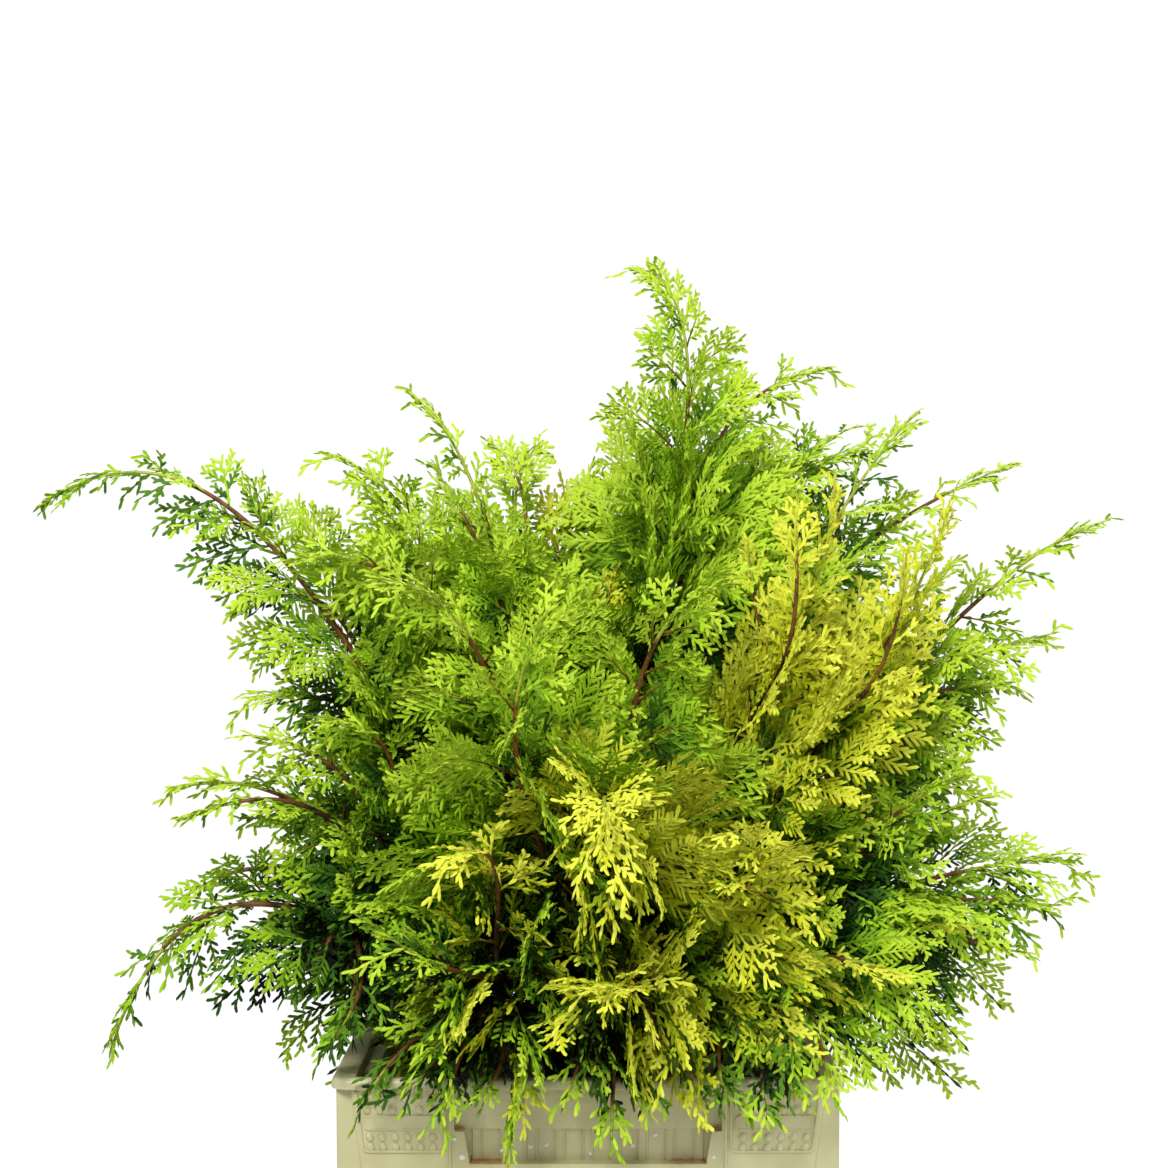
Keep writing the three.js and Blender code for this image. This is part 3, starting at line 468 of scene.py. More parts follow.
class Wiring:
    """Places nodes in a tree and joins them up."""

    def __init__(self, tree):
        self.tree = tree

    def node(self, kind, **settings):
        made = self.tree.nodes.new(kind)
        for key, value in settings.items():
            setattr(made, key, value)
        return made

    def feed(self, socket, source):
        """Links a socket to another, or gives it a plain value."""
        if isinstance(source, bpy.types.NodeSocket):
            self.tree.links.new(source, socket)
        else:
            socket.default_value = source

    def feed_named(self, made, **sources):
        """Feeds a node's inputs, given by their names in small letters."""
        for name, source in sources.items():
            self.feed(made.inputs[name.replace("_", " ").title()], source)

    def math(self, operation, *sources, clamp=False):
        made = self.node("ShaderNodeMath", operation=operation, use_clamp=clamp)
        for socket, source in zip(made.inputs, sources):
            self.feed(socket, source)
        return made.outputs[0]

    def product(self, first, *others):
        for other in others:
            first = self.math("MULTIPLY", first, other)
        return first

    def ramp(self, value, low, high, to_low=0.0, to_high=1.0):
        made = self.node("ShaderNodeMapRange", interpolation_type="SMOOTHSTEP")
        self.feed_named(made, value=value, from_min=low, from_max=high, to_min=to_low, to_max=to_high)
        return made.outputs["Result"]

    def mix(self, share, a, b):
        made = self.node("ShaderNodeMix", data_type="RGBA")
        self.feed_named(made, factor=share, a=a, b=b)
        return made.outputs["Result"]

    def noise(self, vector, scale, detail, roughness=0.55):
        made = self.node("ShaderNodeTexNoise")
        self.feed_named(made, vector=vector, scale=scale, detail=detail, roughness=roughness)
        return made.outputs["Fac"]

    def place(self, stretch=None):
        """The place on the object, and where it is stretched, that times the stretch."""
        place = self.node("ShaderNodeTexCoord").outputs["Object"]
        if stretch is None:
            return place
        made = self.node("ShaderNodeVectorMath", operation="MULTIPLY")
        self.feed(made.inputs[0], place)
        self.feed(made.inputs[1], stretch)
        return made.outputs[0]

    def split(self, vector):
        made = self.node("ShaderNodeSeparateXYZ")
        self.feed(made.inputs[0], vector)
        return made.outputs


def new_group(name, inputs, outputs):
    """A shader node group with named sockets, its wiring, and its two ends. An input's kind follows
    from its plain value: a number, a vector or a colour."""
    tree = bpy.data.node_groups.new(name, "ShaderNodeTree")
    kinds = {"value": "NodeSocketFloat", "colour": "NodeSocketColor"}
    for label, default in inputs.items():
        kind = {1: "NodeSocketFloat", 3: "NodeSocketVector", 4: "NodeSocketColor"}[np.size(default)]
        socket = tree.interface.new_socket(label, in_out="INPUT", socket_type=kind)
        socket.default_value = default
    for label, kind in outputs.items():
        tree.interface.new_socket(label, in_out="OUTPUT", socket_type=kinds[kind])
    wiring = Wiring(tree)
    start = wiring.node("NodeGroupInput").outputs
    end = wiring.node("NodeGroupOutput").inputs
    return tree, wiring, start, end


def mottle_group():
    """Two colours mixed by cloudy noise that may be stretched along one way."""
    inputs = {
        "Colour A": (1, 1, 1, 1), "Colour B": (0, 0, 0, 1), "Scale": 40.0, "Stretch": (1, 1, 1),
        "Contrast": 0.25,
    }
    tree, w, start, end = new_group("mottle", inputs, {"Colour": "colour", "Mask": "value"})
    cloud = w.noise(w.place(start["Stretch"]), start["Scale"], 4.0, 0.6)
    low = w.math("SUBTRACT", 0.5, start["Contrast"])
    high = w.math("ADD", 0.5, start["Contrast"])
    mask = w.ramp(cloud, low, high)
    w.feed(end["Mask"], mask)
    w.feed(end["Colour"], w.mix(mask, start["Colour A"], start["Colour B"]))
    return tree


def grain_group():
    """Height of a fine grain, coarse and fine noise together, for a bump."""
    inputs = {"Scale": 300.0, "Stretch": (1, 1, 1), "Fine Share": 0.4}
    tree, w, start, end = new_group("grain", inputs, {"Height": "value"})
    place = w.place(start["Stretch"])
    coarse = w.noise(place, start["Scale"], 2.0)
    fine = w.noise(place, w.product(start["Scale"], 4.0), 2.0)
    w.feed(end["Height"], w.math("ADD", coarse, w.product(fine, start["Fine Share"])))
    return tree


def settled_dirt_group():
    """Mask of dirt that settles low on a thing and in what faces up, broken up by noise."""
    inputs = {"Low": 0.0, "High": 0.1, "Scale": 60.0, "Amount": 0.5}
    tree, w, start, end = new_group("settled_dirt", inputs, {"Mask": "value"})
    place = w.place()
    low_down = w.ramp(w.split(place)["Z"], start["High"], start["Low"])
    facing = w.split(w.node("ShaderNodeNewGeometry").outputs["Normal"])
    upward = w.ramp(facing["Z"], 0.3, 1.0, 0.0, 0.6)
    both = w.math("ADD", low_down, upward, clamp=True)
    cloud = w.ramp(w.noise(place, start["Scale"], 5.0, 0.65), 0.42, 0.68)
    mask = w.product(both, cloud)
    w.feed(end["Mask"], w.math("MULTIPLY", mask, start["Amount"], clamp=True))
    return tree


def stain_group():
    """Mask of one stain on the front and back walls: a soft patch round a height, between two
    distances from the middle, with an edge broken up by noise."""
    inputs = {"Height": 0.2, "Spread": 0.004, "From": 0.0, "To": 0.1, "Amount": 0.6}
    tree, w, start, end = new_group("stain", inputs, {"Mask": "value"})
    place = w.place()
    x, y, z = w.split(place)
    away = w.math("ABSOLUTE", w.math("SUBTRACT", z, start["Height"]))
    near = w.ramp(away, start["Spread"], 0.0)
    aside = w.math("ABSOLUTE", x)
    rise = w.ramp(w.math("SUBTRACT", aside, start["From"]), -0.004, 0.018)
    fall = w.ramp(w.math("SUBTRACT", start["To"], aside), -0.001, 0.002)
    on_long_wall = w.ramp(w.math("ABSOLUTE", y), 0.112, 0.118)
    cloud = w.ramp(w.noise(place, 140.0, 3.0), 0.3, 0.62, 0.35, 1.0)
    mask = w.product(near, w.product(rise, fall), on_long_wall, cloud)
    w.feed(end["Mask"], w.math("MULTIPLY", mask, start["Amount"], clamp=True))
    return tree


GROUPS = {
    "mottle": mottle_group(),
    "grain": grain_group(),
    "dirt": settled_dirt_group(),
    "stain": stain_group(),
}


def new_material(name, colour, roughness, specular):
    """A material with its Principled shader, and the wiring to finish it."""
    material = bpy.data.materials.new(name)
    material.use_nodes = True
    material.diffuse_color = rgba(colour)
    wiring = Wiring(material.node_tree)
    shader = material.node_tree.nodes["Principled BSDF"]
    shader.inputs["Base Color"].default_value = rgba(colour)
    shader.inputs["Roughness"].default_value = roughness
    shader.inputs["Specular IOR Level"].default_value = specular
    return material, wiring, shader


def use_group(wiring, group, **values):
    """Places a node group, with its inputs given by their names in small letters."""
    made = wiring.node("ShaderNodeGroup", node_tree=GROUPS[group])
    wiring.feed_named(made, **values)
    return made.outputs


def clouded(w, shader, colours, roughness=None, **cloud):
    """Clouds of two colours, each with its roughness; gives the colour, for more to go over it."""
    first, second = (rgba(c) for c in colours)
    made = use_group(w, "mottle", colour_a=first, colour_b=second, **cloud)
    if roughness:
        w.feed(shader.inputs["Roughness"], w.ramp(made["Mask"], 0.0, 1.0, *roughness))
    return made["Colour"]


def add_grain(w, shader, strength, distance, **grain):
    """A fine grain all over a surface."""
    made = w.node("ShaderNodeBump")
    height = use_group(w, "grain", **grain)["Height"]
    w.feed_named(made, strength=strength, distance=distance, height=height)
    w.feed(shader.inputs["Normal"], made.outputs["Normal"])


def leaf_material(name, colour):
    """A soft leaf of one plain colour, a little glossier in places."""
    material, w, shader = new_material(name, colour, 0.6, 0.14)
    sheen = use_group(w, "mottle", scale=420.0, contrast=0.2)["Mask"]
    w.feed(shader.inputs["Roughness"], w.ramp(sheen, 0.0, 1.0, 0.52, 0.72))
    add_grain(w, shader, 0.6, 0.0008, scale=560.0, fine_share=0.2)
    return material


def bark_material():
    """Red-brown bark in long fibrous strips, darker where peat has settled on it."""
    material, w, shader = new_material("red_brown_bark", "#6e3a22", 0.8, 0.25)
    strips = clouded(
        w, shader, ("#2b170b", "#5c371b"), (0.9, 0.7), scale=260.0, stretch=(1, 1, 0.18), contrast=0.16
    )
    dirt = use_group(w, "dirt", low=0.29, high=0.36, scale=90.0, amount=0.7)["Mask"]
    w.feed(shader.inputs["Base Color"], w.mix(dirt, strips, rgba("#2b1c12")))
    add_grain(w, shader, 0.6, 0.0006, scale=420.0, stretch=(1, 1, 0.2), fine_share=0.5)
    return material


def stem_material(name, dark, pale):
    """Young stem: smooth, with its colour clouded along it."""
    material, w, shader = new_material(name, pale, 0.55, 0.35)
    bloom = clouded(w, shader, (dark, pale), (0.62, 0.46), scale=120.0, contrast=0.22)
    w.feed(shader.inputs["Base Color"], bloom)
    add_grain(w, shader, 0.3, 0.0003, scale=700.0, fine_share=0.3)
    return material


def tub_material():
    """Cream moulded plastic: slightly cloudy, soil splashed low down and brown stains in its corners."""
    material, w, shader = new_material("cream_plastic", "#d3cca8", 0.42, 0.45)
    colour = clouded(w, shader, ("#d0cba0", "#beb888"), (0.38, 0.52), scale=14.0, contrast=0.24)
    for drop, spread, first, last, amount in STAINS:
        height = TUB_HEIGHT * MM - drop
        reach = {"from": first, "to": last}
        stain = use_group(w, "stain", height=height, spread=spread, amount=amount, **reach)
        colour = w.mix(stain["Mask"], colour, rgba("#a9713a"))
    dirt = use_group(w, "dirt", low=0.0, high=0.1, scale=46.0, amount=0.32)["Mask"]
    w.feed(shader.inputs["Base Color"], w.mix(dirt, colour, rgba("#7b6a48")))
    add_grain(w, shader, 0.12, 0.0002, scale=900.0, fine_share=0.5)
    return material


def compost_material():
    """Dark damp peat with paler fibres."""
    material, w, shader = new_material("peat_compost", "#3a2a1c", 0.95, 0.2)
    peat = clouded(w, shader, ("#24180f", "#4e3a28"), (0.8, 1.0), scale=240.0, contrast=0.2)
    w.feed(shader.inputs["Base Color"], peat)
    add_grain(w, shader, 0.7, 0.001, scale=520.0, fine_share=0.7)
    return material


def water_painted_highlight_material():
    """Water drops coloured near white, a painted highlight, and only a little clear."""
    material, w, shader = new_material("water", "#fbfbf4", 0.04, 0.9)
    shader.inputs["Transmission Weight"].default_value = 0.2
    shader.inputs["IOR"].default_value = 1.33
    add_grain(w, shader, 0.05, 0.0001, scale=500.0, fine_share=0.0)
    return material


def floor_material():
    material, w, shader = new_material("pale_floor", "#eeeeec", 0.7, 0.3)
    tone = clouded(w, shader, ("#efefed", "#e9e9e6"), scale=6.0, contrast=0.3)
    w.feed(shader.inputs["Base Color"], tone)
    return material


# Meshes from arrays


def mesh_object(name, points, faces, material, smooth_faces=True):
    """An object from points in millimetres and faces that all have the same number of corners."""
    points = np.asarray(points, float)
    faces = np.asarray(faces, np.int32)
    mesh = bpy.data.meshes.new(name)
    mesh.vertices.add(len(points))
    mesh.vertices.foreach_set("co", (points * MM).astype(np.float32).ravel())
    mesh.loops.add(faces.size)
    mesh.loops.foreach_set("vertex_index", faces.ravel())
    mesh.polygons.add(len(faces))
    mesh.polygons.foreach_set("loop_start", np.arange(0, faces.size, faces.shape[1], dtype=np.int32))
    mesh.polygons.foreach_set("use_smooth", np.full(len(faces), smooth_faces))
    mesh.update(calc_edges=True)
    mesh.materials.append(material)
    made = bpy.data.objects.new(name, mesh)
    bpy.context.scene.collection.objects.link(made)
    return made


def clean_up(piece, crease):
    """Welds a piece's seams, turns its faces outwards and leaves edges sharper than the crease."""
    mesh = bmesh.new()
    mesh.from_mesh(piece.data)
    bmesh.ops.remove_doubles(mesh, verts=mesh.verts, dist=WELD)
    bmesh.ops.recalc_face_normals(mesh, faces=mesh.faces)
    mesh.to_mesh(piece.data)
    mesh.free()
    if crease is not None:
        piece.data.set_sharp_from_angle(angle=crease)


def settle(piece, slot, *nodes):
    """A finished piece rides on the plant's one body and stands for its solids."""
    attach(piece, "root")
    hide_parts(*nodes)


def bmesh_arrays(mesh):
    """The points and faces of a mesh that was made by hand, which is then let go."""
    mesh.verts.index_update()
    points = [tuple(v.co) for v in mesh.verts]
    faces = [[v.index for v in f.verts] for f in mesh.faces]
    mesh.free()
    return points, faces


class Heap:
    """Meshes gathered to be joined into one piece, with every four-cornered face split in two."""

    def __init__(self):
        self.points = []
        self.faces = []
        self.count = 0

    def add(self, points, faces):
        points = np.asarray(points, float).reshape(-1, 3)
        faces = np.asarray(faces, np.int64)
        if faces.shape[1] == 4:
            faces = np.concatenate([faces[:, [0, 1, 2]], faces[:, [0, 2, 3]]])
        self.points.append(points)
        self.faces.append(faces + self.count)
        self.count += len(points)

    def finish(self, name, material, slot, *nodes, crease=None, smooth_faces=True):
        """Joins the heap into one clean piece that stands for its solids."""
        points, faces = np.concatenate(self.points), np.concatenate(self.faces)
        piece = mesh_object(name, points, faces, material, smooth_faces)
        clean_up(piece, crease)
        settle(piece, slot, *nodes)


# Growth: shoots


def draw(shoot, spray, use):
    """A number from 0 to 1 that depends only on which shoot, which spray and which use asks."""
    with np.errstate(over="ignore"):
        mixed = (
            np.uint32(shoot + 1) * np.uint32(73856093)
            ^ (np.asarray(spray) + 1).astype(np.uint32) * np.uint32(19349663)
            ^ np.uint32(use + 1) * np.uint32(83492791)
        )
        mixed = (mixed ^ (mixed >> np.uint32(13))) * np.uint32(1274126177)
        mixed = mixed ^ (mixed >> np.uint32(16))
    return mixed / 4294967296.0


class Curve:
    """A cubic curve by its four control points, measured along its length."""

    STEPS = 200

    def __init__(self, *controls):
        self.controls = np.array(controls, float)
        self.turns = np.linspace(0, 1, self.STEPS + 1)
        steps = np.linalg.norm(np.diff(self.at(self.turns), axis=0), axis=1)
        self.lengths = np.concatenate([[0], np.cumsum(steps)])
        self.length = self.lengths[-1]

    def at(self, turn):
        t = column(turn)
        a, b, c, d = self.controls
        return a * (1 - t) ** 3 + 3 * b * t * (1 - t) ** 2 + 3 * c * t**2 * (1 - t) + d * t**3

    def turn_at(self, share):
        return np.interp(np.asarray(share) * self.length, self.lengths, self.turns)

    def point(self, share):
        return self.at(self.turn_at(share))

    def tangent(self, share):
        t = column(self.turn_at(share))
        a, b, c, d = self.controls
        return unit((b - a) * (1 - t) ** 2 + 2 * (c - b) * t * (1 - t) + (d - c) * t**2)


class Shoot:
    """One leading shoot: where it goes, its tint, and the shoot that it leaves, if it is a fork."""

    def __init__(self, name, tip, heading, pitch, nod, spray, tint, parent=None, at=None):
        self.name = name
        self.tip = np.array(tip, float)
        self.heading = heading
        self.pitch = pitch
        self.nod = nod
        self.spray = spray
        self.tint = tint
        self.parent = parent
        self.at = at
        self.index = 0

    def grow(self, start, set_off, bare, root_radius):
        """Runs the shoot's curve from where it starts to its tip."""
        ahead = np.linalg.norm(self.tip - start) * SET_OFF
        back_from_tip = self.tip - direction(self.heading, self.pitch) * self.nod
        self.curve = Curve(start, start + set_off * ahead, back_from_tip, self.tip)
        self.bare = bare
        self.root_radius = root_radius

    def radius(self, share):
        return lerp(self.root_radius, STEM_TIP_RADIUS, share)


def back_shoots():
    """Behind, the clump is finished with a fan of like shoots, each with a fork."""
    spray, tints, fork = BACK["spray"], BACK["tints"], BACK["fork"]
    made = []

    def tip_at(heading, up, length):
        way = direction(heading, up)
        squash = BACK["squash"][0] - BACK["squash"][1] * math.sin(math.radians(heading))
        flat = way[:2] * length * squash
        return (*flat, STOOL["centre"] + way[2] * length * BACK["stretch"])

    for i in range(BACK["count"]):
        heading = lerp(*BACK["headings"], i / (BACK["count"] - 1))
        lift = BACK["tiers"][i % 3] + BACK["tier_spread"] * (float(draw(i, 0, 50)) - 0.5)
        far = BACK["reach"] * (BACK["vary"][0] + BACK["vary"][1] * float(draw(i, 0, 51)))
        far *= 1 - BACK["ends"] * math.cos(math.radians(heading)) ** 2
        name = f"back_{i + 1}"
        tip = tip_at(heading, lift, far)
        made.append(Shoot(name, tip, heading, lift * 0.5 - 6, BACK["nod"], spray, tints[i % 3]))
        aside = heading + (fork["turn"] if i % 2 else -fork["turn"])
        tip = tip_at(aside, lift + fork["steeper"], far * fork["reach"])
        row = (name + "_fork", tip, aside, lift * 0.4, fork["nod"], spray, tints[(i + 1) % 3])
        made.append(Shoot(*row, name, fork["at"]))
    return made


def seat_directions(mains):
    """Each bough sets off from the stool roughly towards its tip, and crowded seats move apart."""
    seats = []
    for shoot in mains:
        to = shoot.tip - CENTRE
        lift = math.degrees(math.atan2(to[2], math.hypot(to[0], to[1])))
        heading = math.degrees(math.atan2(to[1], to[0]))
        rise = lift * SEAT["rise"][0] + SEAT["rise"][1]
        seats.append(direction(heading, max(rise, SEAT["lowest"] + SEAT["over_lowest"])))
    least = 2 * math.sin(math.radians(SEAT["spacing"] / 2))
    lowest = math.sin(math.radians(SEAT["lowest"]))
    pairs = [(i, j) for i in range(len(seats)) for j in range(i + 1, len(seats))]
    for _ in range(SEAT["rounds"]):
        for i, j in pairs:
            apart = seats[i] - seats[j]
            gap = math.sqrt(apart @ apart)
            if gap >= least:
                continue
            apart *= (least - gap) * SEAT["push"] / gap
            for k, push in ((i, apart), (j, -apart)):
                seat = seats[k] + push
                seat[2] = max(seat[2], lowest)
                seats[k] = seat / math.sqrt(seat @ seat)
    return seats


def grow_shoots():
    shoots = [Shoot(*row) for row in SHOOTS] + back_shoots()
    shoots += [Shoot(*row) for row in SIDE_SHOOTS]
    mains = [s for s in shoots if not s.parent]
    for shoot, seat in zip(mains, seat_directions(mains)):
        start = CENTRE + seat * (STOOL["radius"] - SEAT["depth"])
        shoot.grow(start, seat, BARE, BOUGH_RADIUS)
    by_name = {s.name: s for s in shoots}
    for shoot in shoots:
        if shoot.parent:
            parent = by_name[shoot.parent]
            start = parent.curve.point(shoot.at)
            set_off = parent.curve.tangent(shoot.at)
            shoot.grow(start, set_off, 0, lerp(BOUGH_RADIUS, STEM_TIP_RADIUS, shoot.at))
    for index, shoot in enumerate(shoots):
        shoot.index = index
    return shoots


# Growth: sprays, branchlets and twiglets


class Cords:
    """Many curved cords as arrays. Each starts at root, sets off along way, and bends away from
    that by the square of the share of its length; lateral lies across it, in its spray."""

    FIELDS = ("root", "way", "bend", "lateral", "length", "depth", "glow", "tint", "swell")

    def __init__(self, **fields):
        for name in self.FIELDS:
            setattr(self, name, fields[name])

    def __len__(self):
        return len(self.length)

    def pick(self, which):
        return Cords(**{name: getattr(self, name)[which] for name in self.FIELDS})

    def point(self, share):
        u = column(share)
        size = column(self.length)
        return self.root + self.way * size * u + self.bend * size * u * u

    def lie(self, share):
        """How each cord lies there: the way along it, the way across it in its spray, and its face."""
        along = unit(self.way + 2 * self.bend * column(share))
        across = unit(self.lateral - along * dot(self.lateral, along))
        return along, across, np.cross(along, across)

    @classmethod
    def join(cls, several):
        return cls(**{n: np.concatenate([getattr(c, n) for c in several]) for n in cls.FIELDS})


TINTS = sorted(LEAF_SCALES)


def shared_out(count):
    """For so many things on each parent: the parent each is on, and its number there."""
    owner = np.repeat(np.arange(len(count)), count)
    return owner, np.arange(len(owner)) - np.repeat(np.cumsum(count) - count, count)


def sprays_of(shoot, start, stop, pitch, full, first_use):
    """The sprays of a stretch of a shoot: where each leaves the stem, which way, how long, how it
    lies."""
    count = max(SPRAY["fewest"], math.floor(shoot.curve.length * (stop - start) / pitch + 0.5))
    upright = shoot.tint == "gold" and shoot.pitch > SPRAY["upright_over"]
    j = np.arange(count)
    at = lerp(start, stop, (j + 0.5) / count)
    share = np.clip((at - shoot.bare) / (1 - shoot.bare), 0, 1)
    root = shoot.curve.point(at)
    along = shoot.curve.tangent(at)
    flat = np.stack([-along[:, 1], along[:, 0], np.zeros(count)], axis=1)
    level = np.linalg.norm(flat, axis=1, keepdims=True) > 0.05
    side = unit(np.where(level, flat, (1.0, 0.0, 0.0)))
    other = np.cross(along, side)

    def spread(size, use):
        return size * (draw(shoot.index, j, first_use + use) - 0.5)

    roll = column(np.radians(j * GOLDEN_ANGLE + spread(SPRAY["roll_spread"], 1)))
    radial = side * np.cos(roll) + other * np.sin(roll)
    lean = lerp(*SPRAY["leave"], share) - (SPRAY["upright_less"] if upright else 0)
    leave = column(np.radians(lean + spread(SPRAY["leave_spread"], 2)))
    way = along * np.cos(leave) + radial * np.sin(leave)
    to_tip = shoot.curve.length * (1 - at)
    at_tip = (shoot.spray - SPRAY["slender"]) * SPRAY["tip_gain"]
    longest = full * lerp(at_tip, shoot.spray, smooth(to_tip / SPRAY["fullest"]))
    length = longest * (1 + spread(SPRAY["length_spread"], 3))
    tilt = column(np.radians(spread(SPRAY["tilt_spread"], 4)))
    lateral = unit(along - way * dot(along, way))
    face = np.cross(way, lateral)
    lateral = lateral * np.cos(tilt) + face * np.sin(tilt)
    droop = SPRAY["upright_droop"] if upright else SPRAY["droop"]
    bend = np.array((0, 0, droop)) + along * SPRAY["sweep"]
    return Cords(
        root=root, way=way, bend=bend, lateral=lateral, length=length,
        depth=np.zeros(count), glow=draw(shoot.index, j, first_use + 60), swell=np.ones(count),
        tint=np.full(count, TINTS.index(shoot.tint)),
    )


def all_sprays(shoots):
    """The sprays beyond each bough, and the lower ones on the boughs themselves."""
    several = [sprays_of(s, s.bare, 1, SPRAY["pitch"], 1, 0) for s in shoots]
    for shoot in shoots:
        if shoot.bare > LOW_SPRAY["from"]:
            stretch = (LOW_SPRAY["from"], shoot.bare)
            several.append(sprays_of(shoot, *stretch, LOW_SPRAY["pitch"], LOW_SPRAY["share"], 100))
    return Cords.join(several)


def apex_of(shoot):
    """The leafy end of a shoot, as one cord over its last stretch."""
    first = 1 - min(APEX["share"], APEX["length"] / shoot.curve.length)
    start, middle, end = shoot.curve.point(np.array((first, (1 + first) / 2, 1)))
    bend = 2 * (start + end - 2 * middle)
    way = end - start - bend
    size = np.linalg.norm(way)
    along = way / size
    lateral = unit(np.array((-along[1], along[0], 0.001)))
    one = np.ones(1)
    return Cords(
        root=start[None], way=along[None], bend=bend[None] / size, lateral=lateral[None],
        length=size * one, depth=one * 0, glow=one * APEX["glow"], swell=one,
        tint=np.full(1, TINTS.index(shoot.tint)),
    )


def branch(parents, rule, rng):
    """Branchlets that leave both sides of each parent cord in turn, in its spray."""
    span = rule["to"] - rule["from"]
    count = np.maximum(2, np.round(parents.length * span / rule["pitch"]).astype(int))
    owner, order = shared_out(count)
    wander = rng.uniform(-BRANCHING["wander"], BRANCHING["wander"], len(owner))
    share = lerp(rule["from"], rule["to"], (order + 0.5 + wander) / count[owner])
    hand = column(np.where((order + owner) % 2 == 0, 1.0, -1.0))
    base = parents.pick(owner)
    root = base.point(share)
    along, across, face = base.lie(share)
    leave = lerp(*rule["leave"], share) + rng.uniform(-1, 1, len(owner)) * rule["leave_spread"]
    leave = column(np.radians(leave))
    lift = column(rng.normal(0, rule["lift"], len(owner)))
    way = unit(along * np.cos(leave) + across * hand * np.sin(leave) + face * lift)
    # They are longest about a third of the way up their parent, and short at its tip.
    rising = lerp(BRANCHING["lowest"], 1, smooth(share / rule["swell"]))
    falling = lerp(1, rule["tip_share"], smooth((share - rule["swell"]) / (1 - rule["swell"])))
    vary = 1 + rule["length_spread"] * rng.uniform(-0.5, 0.5, len(owner))
    length = base.length * rule["reach"] * rising * falling * vary
    length = np.clip(length, rule["shortest"], rule["longest"])
    lateral = unit(np.cross(face, way))
    bend = along * rule["sweep"] + np.array((0, 0, rule["droop"]))
    # Towards a spray's end a branchlet's glow rises: younger growth, and less painted shade than at its
    # foot.
    return Cords(
        root=root, way=way, bend=bend, lateral=lateral, length=length,
        depth=base.depth, glow=base.glow + rule["youth"] * (share - 0.5), tint=base.tint,
        swell=base.swell * rng.uniform(*BRANCHING["swell"], len(owner)),
    )


def clear_of_tub(cords):
    """Which cords stay out of the tub's walls and the compost."""
    keep = np.ones(len(cords), bool)
    low, high = SOIL_TOP + CLEARANCE["compost"], TUB_HEIGHT + CLEARANCE["tub"]
    mouth = RIM_HALF - CLEARANCE["mouth"]
    for share in (0, 0.35, 0.7, 1):
        place = cords.point(share)
        outer = np.all(np.abs(place[:, :2]) < RIM_HALF + CLEARANCE["tub"], axis=1)
        inside = np.all(np.abs(place[:, :2]) < mouth, axis=1) & (place[:, 2] > low)
        keep &= ~(outer & (place[:, 2] < high) & ~inside)
    return keep


def crown_depth(places):
    """How far out each place is, as a share of the crown's reach that way."""
    out = places - CENTRE
    far = np.linalg.norm(out, axis=1)
    ways = out / far[:, None]
    near = math.cos(math.radians(CROWN["cone"]))
    reach = np.zeros(len(places))
    for start in range(0, len(places), CROWN["batch"]):
        batch = slice(start, start + CROWN["batch"])
        together = ways[batch] @ ways.T > near
        # The share that reaches furthest sets the crown's edge, so that one long tip doesn't.
        spread = np.where(together, far, 0)
        spread.sort(axis=1)
        count = np.maximum(1, together.sum(axis=1))
        place = np.maximum(1, np.round(count * CROWN["furthest"])).astype(int)
        reach[batch] = spread[np.arange(len(spread)), -place]
    return np.clip(far / reach, 0, 1)


def openness(cords, growth):
    """How open to the light each cord is: 1 with nothing beyond it, near 0 under thick growth."""
    samples = np.concatenate([growth.point(share) for share in (0.3, 0.6, 0.9)])
    weights = np.tile(growth.length, 3)
    low = samples.min(axis=0) - SHADE["cell"]
    size = np.ceil((samples.max(axis=0) - low) / SHADE["cell"]).astype(int) + 2

    def cell_of(places):
        return np.clip(((places - low) / SHADE["cell"]).astype(int), 0, size - 1)

    filled = np.zeros(size)
    np.add.at(filled, tuple(cell_of(samples).T), weights)
    place = cords.point(0.7)
    outward = unit(place - CENTRE) + (0, 0, SHADE["above"])
    crowd = np.zeros(len(cords))
    for distance in SHADE["at"]:
        crowd += filled[tuple(cell_of(place + unit(outward) * distance).T)]
    return np.exp(-SHADE["dimming"] * crowd / np.percentile(crowd, SHADE["thick"]))


# Leaves


def leaf_triangles(leaf):
    """The faces of a leaf whose corners are its root, its pairs of side corners, the top of its keel
    and its tip."""
    pairs = len(leaf["sides"])
    keel, tip = 2 * pairs + 1, 2 * pairs + 2
    left = [0, *range(1, keel, 2), tip]
    right = [0, *range(2, keel, 2), tip]
    faces = [(a, b, keel) for a, b in zip(left, left[1:])]
    faces += [(b, a, keel) for a, b in zip(right, right[1:])]
    return np.array(faces)


def leaf_corners(cords, leaf, rng):
    """Keeled leaves along each cord, overlapping like scales."""
    count = np.maximum(1, np.round(cords.length / leaf["step"]).astype(int))
    owner, order = shared_out(count)
    base = cords.pick(owner)
    share = order / count[owner]
    near = share - leaf["back"] / base.length
    far = np.minimum(share + leaf["overlap"] / count[owner], LEAF_FURTHEST)
    middle = lerp(near, far, leaf["keel_at"])
    slim = base.swell * lerp(1, leaf["at_tip"], smooth((middle - 0.5) / 0.5))
    slim = slim * np.where(base.tint == TINTS.index("gold"), GOLDEN_PLUMPER, 1)
    _, across, face = base.lie(middle)
    # The keel faces out and up, and each leaf rolls a little to the other side than the last.
    seen = unit(base.root - CENTRE) + (0, 0, FACES_UP)
    face = face * np.where(dot(face, seen) < 0, -1.0, 1.0)
    roll = leaf["roll"] * np.where(order % 2 == 0, 1, -1) + rng.normal(0, leaf["unruly"], len(owner))
    roll = column(np.radians(roll))
    side = across * np.cos(roll) + face * np.sin(roll)
    up = face * np.cos(roll) - across * np.sin(roll)
    made = [base.point(near)]
    for at, wide in leaf["sides"]:
        place = base.point(lerp(near, far, at))
        half = column(leaf["half"] * wide * slim)
        made += [place - side * half, place + side * half]
    made += [base.point(middle) + up * column(leaf["keel"] * slim), base.point(far)]
    return np.stack(made, axis=1), owner, share


